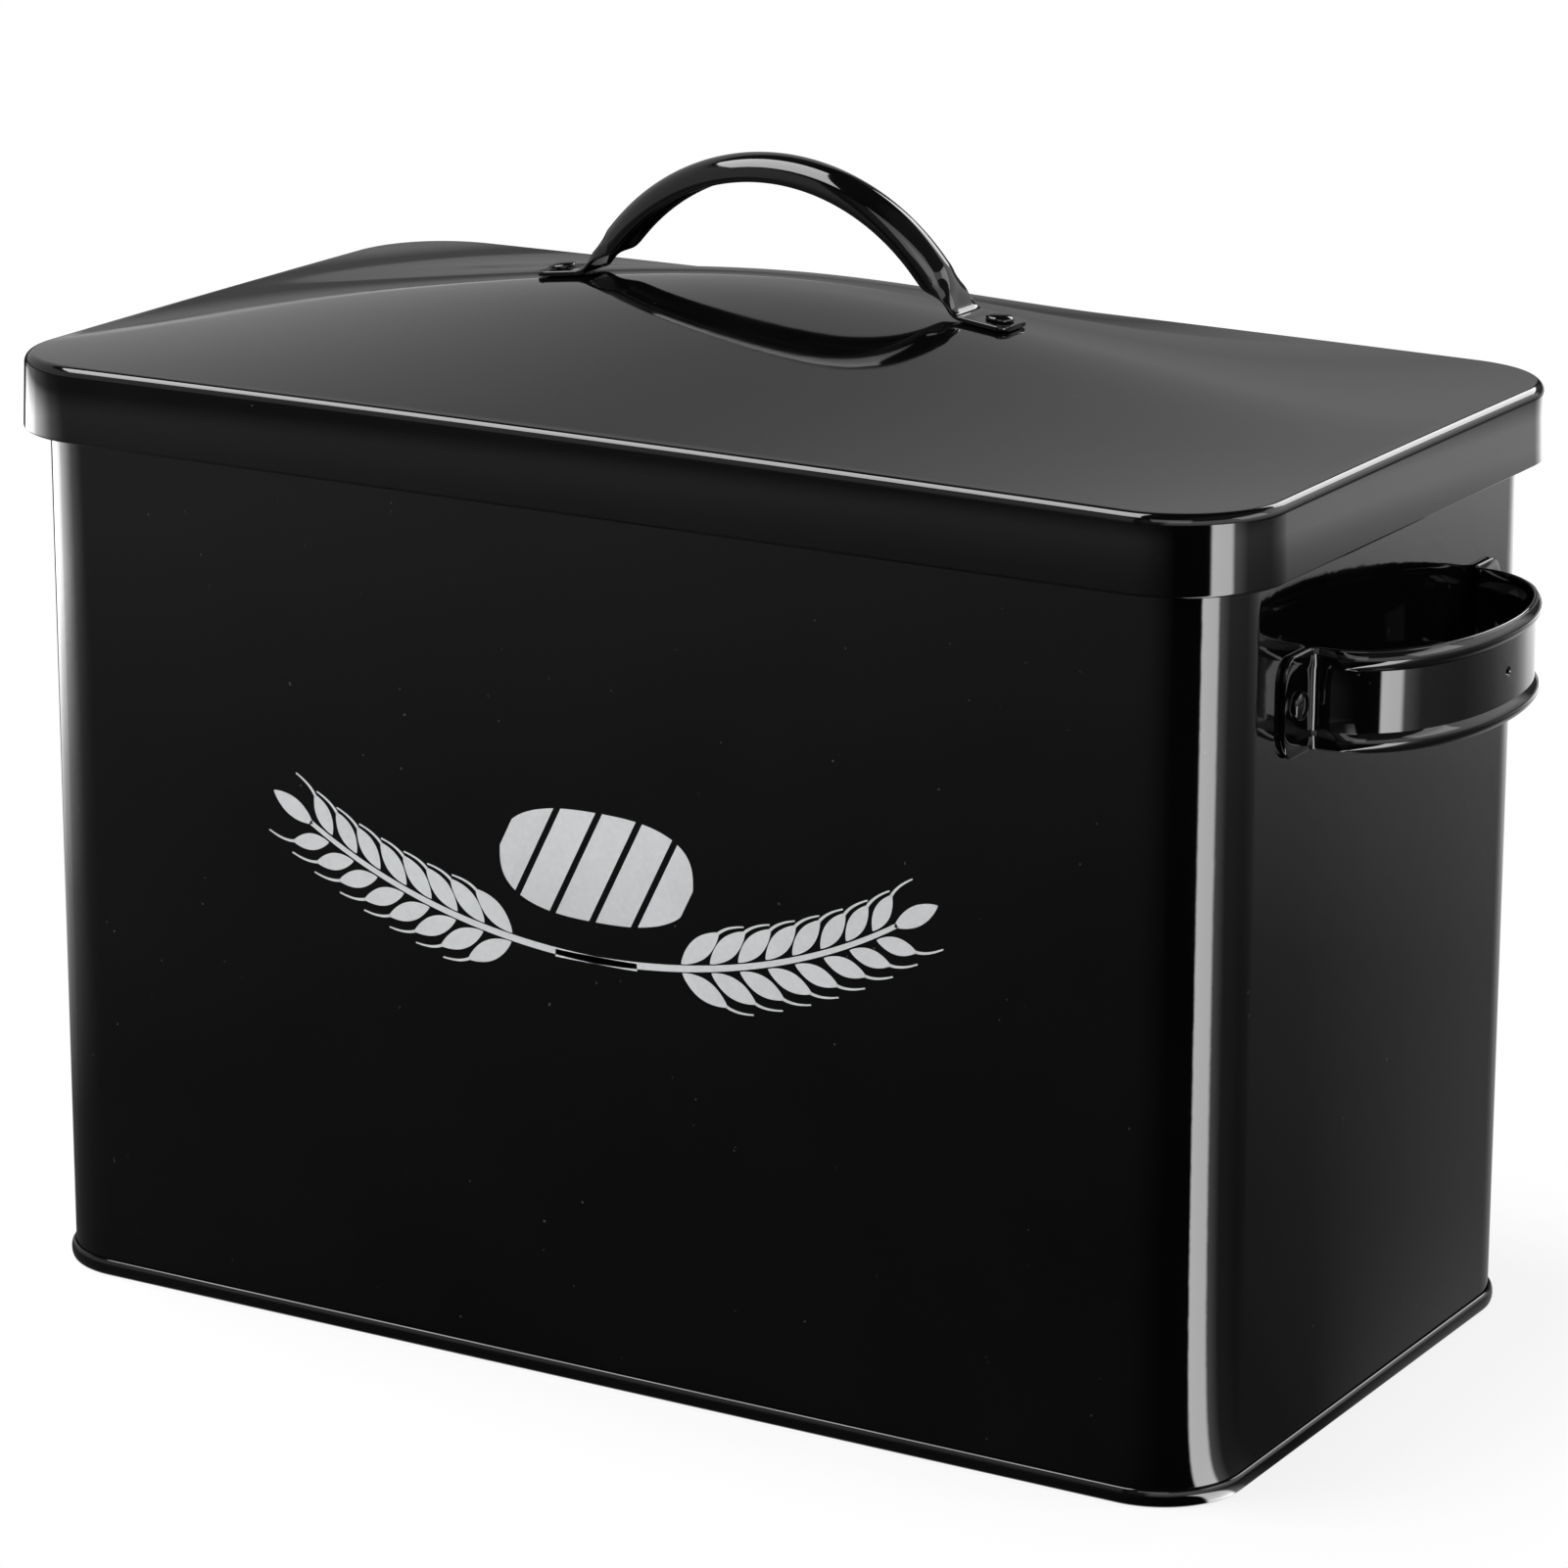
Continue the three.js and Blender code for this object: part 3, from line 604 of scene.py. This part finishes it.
# %% Band handle
def band_handle(end):
    """Up the band, each bead bulges outwards as a sine over its height; its size eases from a
    quarter at the bend to full on the loop and to nothing at the end of the foot."""
    x, y, turn, past_bend, end_share = (band_line()[:, [column]] for column in range(5))
    fade_length = np.where(past_bend < 0, foot_length, bead_fade_length)
    fade = smooth(np.abs(past_bend) / fade_length)
    far_share = np.where(past_bend < 0, 0, 1)
    bead = bead_rise * (bead_bend_share + (far_share - bead_bend_share) * fade)
    trim = foot_end_height * (1 - np.sqrt(1 - end_share**2))
    half = band_height / 2 - trim
    share = np.linspace(0, 1, 15)[None]
    web = np.linspace(0, 1, 5)[1:-1][None]
    web_half = half - bead_height
    low_bead, high_bead = (start + bead_height * share for start in (-half, web_half))
    level = np.concatenate([low_bead, -web_half + 2 * web_half * web, high_bead], 1)
    wave = np.sin(HALF_TURN * share)
    bulge = bead * np.concatenate([wave, 0 * web, wave], 1)
    rounding = np.linspace(0, HALF_TURN, 7)[1:-1][None]
    lip = band_edge_rounding
    top_level = level[:, -1:] - lip + lip * np.sin(rounding)
    low_level = level[:, :1] + lip - lip * np.sin(rounding)
    level = np.clip(level, -half + lip, half - lip)
    edge = band_sheet / 2 * np.cos(rounding) + 0 * half
    levels = np.concatenate([level, top_level, level[:, ::-1], low_level], 1)
    half_sheet = band_sheet / 2
    outs = np.concatenate([half_sheet + bulge, edge, bulge[:, ::-1] - half_sheet, -edge], 1)
    band_x = x + np.cos(turn) * outs
    band_y = y - np.sin(turn) * outs
    places = end * (bin_length / 2 + band_x), band_set_back + end * band_y, band_level + levels
    rings = np.stack(places, -1)
    return pierce(rings, len(rings) // 2, levels.shape[1])


def pierce(rings, middle, columns):
    """The skin of a band with a hole at its middle. The faces of a small patch, three rows to each
    side and between the web's inner levels, are left out of the outer and the inner skin, where
    column mirror - c lies behind column c. Rings join the patch's edge outside to a circle with a
    broken edge, through the sheet, and to the patch's edge inside."""
    points, quads, fans = skin(rings)
    reach, low, high, mirror = 3, 15, 17, 70
    centre_column = (low + high) // 2
    row, column = np.divmod(np.arange(len(quads)), columns)
    on_rows = (row >= middle - reach) & (row < middle + reach)
    outside = (column >= low) & (column < high)
    inside = (column >= mirror - high) & (column < mirror - low)
    kept = quads[~(on_rows & (outside | inside))]
    span = np.arange(middle - reach, middle + reach + 1)
    edge_row = np.concatenate([span, [span[-1]], span[::-1], [span[0]]])
    edge_counts = [len(span), 1, len(span), 1]
    edge_column = np.repeat([low, centre_column, high, centre_column], edge_counts)
    outer_edge = edge_row * columns + edge_column
    inner_edge = edge_row * columns + mirror - edge_column
    centre = points[middle * columns + centre_column]
    spoke = (points[outer_edge] - centre)[:, 1:]
    spoke /= np.hypot(*spoke.T)[:, None]
    web_x = rings[span, centre_column, 0], rings[span, mirror - centre_column, 0]
    web_y = rings[span, centre_column, 1]
    order = np.argsort(web_y)
    loops = [outer_edge]
    for radius, depth in ((1.7, 0), (1.25, 0), (1, 0.25), (1, 1)):
        place = centre[1:] + spoke * hang_hole_radius * radius
        near, far = (np.interp(place[:, 0], web_y[order], x[order]) for x in web_x)
        loops.append(len(points) + np.arange(len(place)))
        points = np.vstack([points, np.column_stack([near + (far - near) * depth, place])])
    loops.append(inner_edge)
    pairs = zip(loops[:-1], loops[1:])
    sides = [np.stack([a, np.roll(a, -1), np.roll(b, -1), b], -1) for a, b in pairs]
    same_way = (kept == outer_edge[0]) & (np.roll(kept, -1, 1) == outer_edge[1])
    sides = np.vstack(sides)
    return points, np.vstack([kept, sides[:, ::-1] if same_way.any() else sides]), fans


for side_name, end in SIDES:
    skins, node = [band_handle(end)], f"side_handle_{side_name}"
    piece(f"band_{side_name}", skins, "bin", "handle_enamel", [node], 40)

# %% [markdown]
# ## The rivets
# Six domed rivets hold the handles. A head is a low dome with a crisp rim; the tail is hammered
# flat inside. Each is a profile turned round its axis.

# %% Rivets
shank_radius, head_radius, head_height, tail_radius, tail_height = 1.7, 3.3, 1.3, 2.8, 0.9
rim_edge, pole_turn = 0.22, 0.04


def rivet(seat, axis, grip):
    """A turned profile: radius and height along the axis, from the top of the head (radius
    R sin a, height H cos a) past a small edge to the shank and the tail."""
    turn = np.linspace(pole_turn, QUARTER_TURN, 16)
    rise = rim_edge + (head_height - rim_edge) * np.cos(turn)
    head = np.stack([head_radius * np.sin(turn), rise], -1)
    rest = [
        [head_radius, 0], [shank_radius, 0], [shank_radius, -grip], [tail_radius, -grip],
        [tail_radius - rim_edge, -grip - tail_height / 2], [shank_radius, -grip - tail_height],
    ]
    profile = np.vstack([head, rest])
    round_turn = np.linspace(0, FULL_TURN, 49)[:-1]
    side = np.array([0, 1, 0])
    other = np.cross(axis, side)
    spoke = np.cos(round_turn)[:, None] * side + np.sin(round_turn)[:, None] * other
    rings = profile[:, None, :1] * spoke[None] + profile[:, None, 1:] * axis
    return skin(rings + seat)


side_grip = wall_sheet + band_sheet + 3 * fit_gap
for side_name, end in SIDES:
    for place_name, place in (("front", -1), ("back", 1)):
        seat_x = end * (bin_length / 2 + band_sheet + 2 * fit_gap)
        seat = (seat_x, band_set_back + place * rivet_spread, band_level)
        skins = [rivet(seat, (end, 0, 0), side_grip)]
        ending = f"rivet_{side_name}_{place_name}"
        piece(f"band_{ending}", skins, "bin", "rivet_enamel", [f"side_handle_{ending}"])
rivet_x, rivet_z, _ = strap_rivet()
lid_grip = lid_sheet + strap_sheet + 3 * fit_gap
for side_name, end in SIDES:
    axis = np.array([end * np.sin(tab_tilt), 0, np.cos(tab_tilt)])
    seat = np.array([end * rivet_x, 0, rivet_z]) + axis * fit_gap
    skins, node = [rivet(seat, axis, lid_grip)], f"lid_handle_rivet_{side_name}"
    piece(f"strap_rivet_{side_name}", skins, "lid", "rivet_enamel", [node])

# %% [markdown]
# ## The silver print on the front
# The front carries a baker's ornament in silver-grey ink, fired onto the enamel: a sliced loaf
# over two crossed ears of wheat. Ink has almost no thickness, so each shape is a pad a few
# hundredths of a millimetre thick on the wall: an outline pulled in slightly at its front edge.


# %% Ink
def ink(name, grey, roughness):
    """Matt silver ink: a fine noise makes the grain of the mesh that it was printed through, and
    a broad noise makes it slightly uneven."""
    material, tree, nodes, links = node_material(name)
    shader = nodes["Principled BSDF"]
    shader.inputs["Roughness"].default_value = roughness
    place = nodes.new("ShaderNodeTexCoord")
    factors = []
    for scale in (900, 45):
        grain = nodes.new("ShaderNodeTexNoise")
        grain.inputs["Scale"].default_value = scale
        links.new(place.outputs["Object"], grain.inputs["Vector"])
        factors.append(grain.outputs["Fac"])
    mean = math_node(tree, "MULTIPLY", math_node(tree, "ADD", *factors), 0.5)
    ramp = nodes.new("ShaderNodeValToRGB")
    ramp.color_ramp.elements[0].position = 0.35
    ramp.color_ramp.elements[1].position = 0.65
    for element, level in zip(ramp.color_ramp.elements, (0.94, 1.04)):
        element.color = (*(part * level for part in grey), 1)
    links.new(mean, ramp.inputs["Fac"])
    links.new(ramp.outputs["Color"], shader.inputs["Base Color"])
    print(f"{name}: {grey}")
    return material


finishes["silver_print"] = ink("silver ink", (0.55, 0.56, 0.57), 0.5)

# %% Sizes of the print
print_middle, ink_thickness, stalk_widths = (2.7, 121), 0.06, (1.8, 1.1)
grain_pairs, first_grain, grain_step, grain_turn, grain_offset = 8, 33, 7.6, 0.6, 1.1
grain_length, grain_shortening, grain_width, grain_thinning = 13.5, 0.45, 4.9, 0.12
end_grain_length, end_grain_width = 12, 4.6
awn_start, awn_straight, awn_bend, awn_widths = 0.3, 3, 4.5, (0.7, 0.35)
print("print round (x, z) =", print_middle, "mm")


# %% Print shapes
def on_wall(flat, depth):
    """Points (x, z) round the print's middle, brought to a depth in front of the wall."""
    place = flat + np.array(print_middle, float)
    return np.stack([place[:, 0], np.full(len(flat), -bin_depth / 2 - depth), place[:, 1]], -1)


def pad(loop):
    """A pad from a closed loop of (x, z) points: the loop on the wall, and the same loop in front
    of it, drawn in by a hundredth about its own middle."""
    middle = loop.mean(0)
    front = middle + (loop - middle) * 0.99
    return skin([on_wall(loop, 0), on_wall(front, ink_thickness)])


def leaf(foot, tip, width):
    """A pointed oval from foot to tip, half width w sin(pi t)^0.8 at the share t."""
    t = np.linspace(0, 1, 21)[:, None]
    along = tip - foot
    aside = np.array([-along[1], along[0]]) / np.hypot(*along)
    swell = width / 2 * np.sin(HALF_TURN * t) ** 0.8
    line = foot + along * t
    return pad(np.concatenate([line + aside * swell, (line - aside * swell)[-2:0:-1]]))


def ribbon(line, start_width, end_width):
    """A tapering stroke of ink along a line of (x, z) points: four-cornered sections, closed."""
    run = np.gradient(line, axis=0)
    aside = np.stack([-run[:, 1], run[:, 0]], -1) / np.hypot(*run.T)[:, None]
    half = np.linspace(start_width, end_width, len(line))[:, None] / 2
    corners = ((1, 0), (-1, 0), (-1, ink_thickness), (1, ink_thickness))
    edges = [on_wall(line + side * aside * half, depth) for side, depth in corners]
    return skin(np.stack(edges, 1))


def curve(start, middle, end, steps):
    """A parabola with three control points: (1-t)^2 a + 2 t (1-t) b + t^2 c."""
    t = np.linspace(0, 1, steps)[:, None]
    return (1 - t) ** 2 * start + 2 * t * (1 - t) * middle + t**2 * end


# %% Wheat ears
def ear(side):
    """Pairs of grains at equal steps along a rising stalk, each turned out and shorter towards
    the tip, with an awn from every grain and a single grain at the end."""
    flip = np.array([side, 1])
    stalk = curve((-11, -17), (42, -18.5), (79, 4), 160) * flip
    shapes = [ribbon(stalk, *stalk_widths)]
    step = np.hypot(*np.diff(stalk, axis=0).T)
    way = np.concatenate([[0], np.cumsum(step)])
    for count in range(grain_pairs):
        station = np.argmin(np.abs(way - first_grain - grain_step * count))
        foot = stalk[station]
        run = (stalk[station] - stalk[station - 1]) / step[station - 1]
        aside = np.array([-run[1], run[0]])
        for half in (1, -1):
            lean = run * np.cos(grain_turn) + half * aside * np.sin(grain_turn)
            root = foot + half * aside * grain_offset + run
            tip = root + lean * (grain_length - grain_shortening * count)
            shapes.append(leaf(root, tip, grain_width - grain_thinning * count))
            awn = tip - lean * awn_start
            bend = awn + lean * awn_straight
            shapes.append(ribbon(curve(awn, bend, bend + run * awn_bend, 10), *awn_widths))
    run = (stalk[-1] - stalk[-2]) / step[-1]
    end_tip = stalk[-1] + run * end_grain_length
    shapes.append(leaf(stalk[-1] - run, end_tip, end_grain_width))
    return shapes


def loaf(width, height, middle, slices):
    """A long loaf, |x / a|^2.6 + |z / b|^2.6 = 1, parted by slanting cuts: each slice lies
    between two lines x = s + 0.5 z, and its top and bottom follow the outline."""
    power, slant, gap, steps = 2 / 2.6, 0.5, 1.8, 1440
    turn = np.linspace(0, FULL_TURN, steps + 1)[:-1]
    x = width / 2 * np.sign(np.cos(turn)) * np.abs(np.cos(turn)) ** power
    z = height / 2 * np.sign(np.sin(turn)) * np.abs(np.sin(turn)) ** power
    s = x - slant * z
    order = np.roll(np.arange(steps), -np.argmax(s))
    turning = np.argmin(s[order])
    upper, lower = order[: turning + 1][::-1], order[turning:]
    edges = np.linspace(s.min(), s.max(), slices + 1)
    shapes = []
    for low, high in zip(edges[:-1], edges[1:]):
        across = np.linspace(low + gap / 2, high - gap / 2, 24)
        top = np.interp(across, s[upper], z[upper])
        bottom = np.interp(across[::-1], s[lower], z[lower])
        crust = np.stack([across + slant * top, top], -1)
        base = np.stack([across[::-1] + slant * bottom, bottom], -1)
        shapes.append(pad(np.concatenate([crust, base]) + middle))
    return shapes


print_shapes = ear(1) + ear(-1) + loaf(52, 26, (0, 5), 5)
piece("front_print", print_shapes, "bin", "silver_print")

# %% [markdown]
# ## The floor and what the gloss sees
# The bin stands on a plain pale floor, white where the camera looks past the bin. Near the bin the
# floor is lit by the lamps, so it keeps the shadow; further out it fades into white. Gloss black
# shows whatever lies in front of it. A glowing card round the bin, seen by the gloss alone and
# lighting nothing, paints the reflections: dark mostly, with painted bright lines on the round
# corners.

# %% Floor
stage_half_size, card_height = 30, 0.0004
fade_width, white_at_foot = 0.09, 0.8


def floor_material():
    """Diffuse pale grey that takes the shadow, mixed for camera, glossy and transmission rays with
    light of strength 1, which is white: mostly at the foot, and wholly a hand's width out."""
    material, tree, nodes, links = node_material("pale floor")
    shader = nodes["Principled BSDF"]
    shader.inputs["Base Color"].default_value = (0.83, 0.83, 0.83, 1)
    shader.inputs["Roughness"].default_value = 0.8
    shader.inputs["Specular IOR Level"].default_value = 0
    white = nodes.new("ShaderNodeEmission")
    white.inputs["Strength"].default_value = 1
    place = nodes.new("ShaderNodeTexCoord")
    outside = place.outputs["Object"]
    foot_corner = (bin_length / 2 * MM, bin_depth / 2 * MM, 0)
    steps = (("ABSOLUTE", None), ("SUBTRACT", foot_corner), ("MAXIMUM", None), ("LENGTH", None))
    for operation, other in steps:
        step = nodes.new("ShaderNodeVectorMath")
        step.operation = operation
        links.new(outside, step.inputs[0])
        if other:
            step.inputs[1].default_value = other
        outside = step.outputs["Value" if operation == "LENGTH" else "Vector"]
    far = nodes.new("ShaderNodeMapRange")
    far.interpolation_type = "SMOOTHSTEP"
    far.inputs["From Max"].default_value = fade_width
    far.inputs["To Min"].default_value = white_at_foot
    links.new(outside, far.inputs["Value"])
    path = nodes.new("ShaderNodeLightPath")
    seen = path.outputs["Is Camera Ray"]
    for kind in ("Is Glossy Ray", "Is Transmission Ray"):
        seen = math_node(tree, "MAXIMUM", seen, path.outputs[kind])
    mix = nodes.new("ShaderNodeMixShader")
    links.new(math_node(tree, "MULTIPLY", seen, far.outputs["Result"]), mix.inputs["Fac"])
    links.new(shader.outputs["BSDF"], mix.inputs[1])
    links.new(white.outputs["Emission"], mix.inputs[2])
    links.new(mix.outputs["Shader"], nodes["Material Output"].inputs["Surface"])
    return material


def level_sheet(name, height, material):
    """A square sheet on the ground for the stage, in metres."""
    corners = [(-1, -1), (1, -1), (1, 1), (-1, 1)]
    mesh = bpy.data.meshes.new(name)
    points = [(x * stage_half_size, y * stage_half_size, height) for x, y in corners]
    mesh.from_pydata(points, [], [(0, 1, 2, 3)])
    mesh.materials.append(material)
    obj = in_scene(name, mesh)
    return obj


level_sheet("floor", 0, floor_material())
print("floor laid")


# %% Reflection card
card_gain, strip_gain = 8, 10
# Share of a turn round the corner, then the levels around, strip and beside
stops_around = [
    (0.000, 0.10, 0, 0.55), (0.030, 0.105, 0, 0.38), (0.060, 0.115, 0, 0.10), (0.100, 0.115, 0, 0),
    (0.230, 0.10, 0, 0), (0.300, 0.03, 0, 0), (0.320, 0, 0, 0), (0.410, 0, 0, 0),
    (0.418, 0.1, 1, 0), (0.470, 0.1, 0.9, 0), (0.480, 0.2, 0.1, 0), (0.520, 0.14, 0.01, 0),
    (0.600, 0.12, 0, 0), (0.648, 0.11, 0, 0.05), (0.676, 0.15, 0, 0.09), (0.690, 0.27, 0, 0.05),
    (0.705, 0.42, 0, 0.08), (0.730, 0.70, 0, 0.15), (0.800, 0.60, 0, 0.15), (0.824, 0.10, 0, 0),
    (0.836, 0.25, 0, 0), (0.852, 0.25, 0, 0), (0.868, 0.02, 0, 0), (0.930, 0.02, 0, 0),
    (0.945, 0.10, 0, 0.75), (0.985, 0.10, 0, 0.75),
]
# Distance / 2 m, then the levels near and far
stops_outwards = [
    (0.000, 0.055, 0), (0.100, 0.065, 0), (0.200, 0.092, 0.01), (0.300, 0.140, 0.10),
    (0.370, 0.190, 0.27), (0.435, 0.240, 0.55), (0.500, 0.300, 1), (0.590, 0.340, 1),
    (0.750, 0.100, 0.1),
]


def card_material():
    """Painted reflections, seen by the gloss alone: light by place round the front right corner,
    8 near * around + 10 strip + 8 far * beside.
    Near and far are levels over the distance / 2 m, and around, strip and beside are levels over
    atan2(y, x) / (2 pi) + 1/2."""
    material, tree, nodes, links = node_material("painted reflection card")
    nodes.remove(nodes["Principled BSDF"])
    place = nodes.new("ShaderNodeTexCoord")
    centre = nodes.new("ShaderNodeMapping")
    corner_x = (bin_length / 2 - corner_radius) * MM
    corner_y = (bin_depth / 2 - corner_radius) * MM
    centre.inputs["Location"].default_value = (-corner_x, corner_y, 0)
    links.new(place.outputs["Object"], centre.inputs["Vector"])
    direction = nodes.new("ShaderNodeTexGradient")
    direction.gradient_type = "RADIAL"
    links.new(centre.outputs["Vector"], direction.inputs["Vector"])
    length = nodes.new("ShaderNodeVectorMath")
    length.operation = "LENGTH"
    links.new(centre.outputs["Vector"], length.inputs[0])
    distance = math_node(tree, "MULTIPLY", length.outputs["Value"], 0.5)
    around, strip, beside = levels_along(tree, direction.outputs["Fac"], stops_around)
    near, far, _ = levels_along(tree, distance, stops_outwards)
    light = math_node(tree, "MULTIPLY", math_node(tree, "MULTIPLY", far, card_gain), beside)
    light = math_node(tree, "MULTIPLY_ADD", strip, strip_gain, light)
    close = math_node(tree, "MULTIPLY", near, card_gain)
    light = math_node(tree, "MULTIPLY_ADD", close, around, light)
    glow = nodes.new("ShaderNodeEmission")
    links.new(light, glow.inputs["Strength"])
    links.new(glow.outputs["Emission"], nodes["Material Output"].inputs["Surface"])
    return material


card = level_sheet("painted_reflection_card", card_height, card_material())
# Seen by glossy rays alone, the card lights nothing and only paints reflections into the gloss.
card.visible_camera = card.visible_diffuse = False
card.visible_transmission = card.visible_shadow = False
print("painted reflection card laid")

# %% [markdown]
# ## World and lamps
# The studio is pale round the horizon and dark above, so the lid shows a soft grey instead of a
# glare, while the camera sees plain white behind the bin. Low on the left the sky has a dark band
# with a bright line over it, for the contour of the lid. A softbox hangs over the left for the
# bright line along the front fold, one stands at the back right for the fold at that end, and two
# broad ones light the front and the right.

# %% World
world = bpy.data.worlds.new("studio")
world.use_nodes = True
bpy.context.scene.world = world
tree = world.node_tree
nodes, links = tree.nodes, tree.links
sky_gain = 3
# Direction's part along x, then the share of the left sky and the level
stops_across = [
    (-0.54, 1, 0.333), (-0.44, 0, 0.333), (-0.300, 0, 0.333), (-0.265, 0, 0.04), (-0.20, 0, 0.04),
    (-0.12, 0, 0.117), (0.16, 0, 0.117), (0.29, 0, 0.95),
]
# Direction's part along z, then the levels of the left sky and of the plain sky
stops_upwards = [
    (0.000, 0.09, 0.22), (0.040, 0.10, 0.23), (0.060, 0.15, 0.24), (0.100, 0.28, 0.25),
    (0.118, 0.30, 0.26), (0.122, 0.12, 0.26), (0.125, 0.12, 0.27), (0.127, 1.00, 0.27),
    (0.136, 1.00, 0.28), (0.147, 0.52, 0.30), (0.200, 0.50, 0.36), (0.300, 0.50, 0.50),
    (0.550, 0.50, 0.50), (0.635, 0.46, 0.46), (0.665, 0.04, 0.04), (1.000, 0.03, 0.03),
]
direction = nodes.new("ShaderNodeTexCoord")
parts = nodes.new("ShaderNodeSeparateXYZ")
links.new(direction.outputs["Generated"], parts.inputs["Vector"])


def sky_parts(direction_part, stops):
    """Levels over one part of the direction, from -1 to 1."""
    share = nodes.new("ShaderNodeMapRange")
    share.inputs["From Min"].default_value = -1
    links.new(parts.outputs[direction_part], share.inputs["Value"])
    places = [((place + 1) / 2, *levels) for place, *levels in stops]
    return levels_along(tree, share.outputs["Result"], places)


left_share, side_level, _ = sky_parts("X", stops_across)
left_sky, plain_sky, _ = sky_parts("Z", stops_upwards)
sky = nodes.new("ShaderNodeMix")
links.new(left_share, sky.inputs["Factor"])
links.new(plain_sky, sky.inputs["A"])
links.new(left_sky, sky.inputs["B"])
level = math_node(tree, "MULTIPLY", sky.outputs["Result"], side_level)
level = math_node(tree, "MULTIPLY", level, sky_gain)
path = nodes.new("ShaderNodeLightPath")
seen = math_node(tree, "MAXIMUM", level, path.outputs["Is Camera Ray"])
links.new(seen, nodes["Background"].inputs["Strength"])
nodes["Background"].inputs["Color"].default_value = (1, 1, 1, 1)
print("world set")


# %% Lamps
def set_pose(obj, place, axes):
    """Put an object at a place, its own x, y and z along three unit directions."""
    turn = Matrix(np.stack(axes, -1).tolist()).to_4x4()
    obj.matrix_world = Matrix.Translation(place) @ turn


def softbox(name, place, target, size, radiance):
    """A rectangular lamp that faces its target. Its power is radiance times pi times its area."""
    lamp = bpy.data.lights.new(name, "AREA")
    lamp.shape = "RECTANGLE"
    lamp.size, lamp.size_y = size
    lamp.energy = radiance * np.pi * size[0] * size[1]
    back = np.subtract(place, target)
    back /= np.linalg.norm(back)
    side = np.cross([0, 0, 1], back)
    side /= np.linalg.norm(side)
    set_pose(in_scene(name, lamp), place, [side, np.cross(back, side), back])
    print(f"{name}: {lamp.energy:.1f} W")


lid_middle = (0, 0, 0.2)
softbox("softbox over the left", (-0.60, -0.33, 1.25), (-0.60, -0.34, 0), (0.9, 0.88), 9)
softbox("back right softbox", (0.20, 1.30, 0.92), (0.12, 0, 0.2), (0.68, 0.5), 5.5)
softbox("softbox over the camera", (0.55, -1.25, 1.25), lid_middle, (1.0, 0.7), 1.6)
softbox("right softbox", (1.20, 0.35, 1.0), (0.18, 0, 0.18), (0.8, 0.5), 2.5)

# %% [markdown]
# ## The camera
# The photograph was taken from the front right, looking slightly down. The place, the turn and the
# lens below put the edges of the bin close to where the photograph has them.

# %% Camera
camera_place = (0.7126, -1.2000, 0.5257)
camera_yaw, camera_pitch, camera_roll = np.radians((30.626, 16.037, 0.111))
ahead = np.array([-np.sin(camera_yaw), np.cos(camera_yaw), 0])
look = ahead * np.cos(camera_pitch) - [0, 0, np.sin(camera_pitch)]
level = np.cross(look, [0, 0, 1])
level /= np.linalg.norm(level)
upward = np.cross(level, look)
right = level * np.cos(camera_roll) + upward * np.sin(camera_roll)
upward = upward * np.cos(camera_roll) - level * np.sin(camera_roll)
camera_data = bpy.data.cameras.new("camera")
camera_data.lens = 139.23
camera_data.sensor_width = 36
camera = in_scene("camera", camera_data)
set_pose(camera, camera_place, [right, upward, -look])
bpy.context.scene.camera = camera
bpy.context.scene.view_settings.view_transform = "Standard"
print("camera", camera_place)
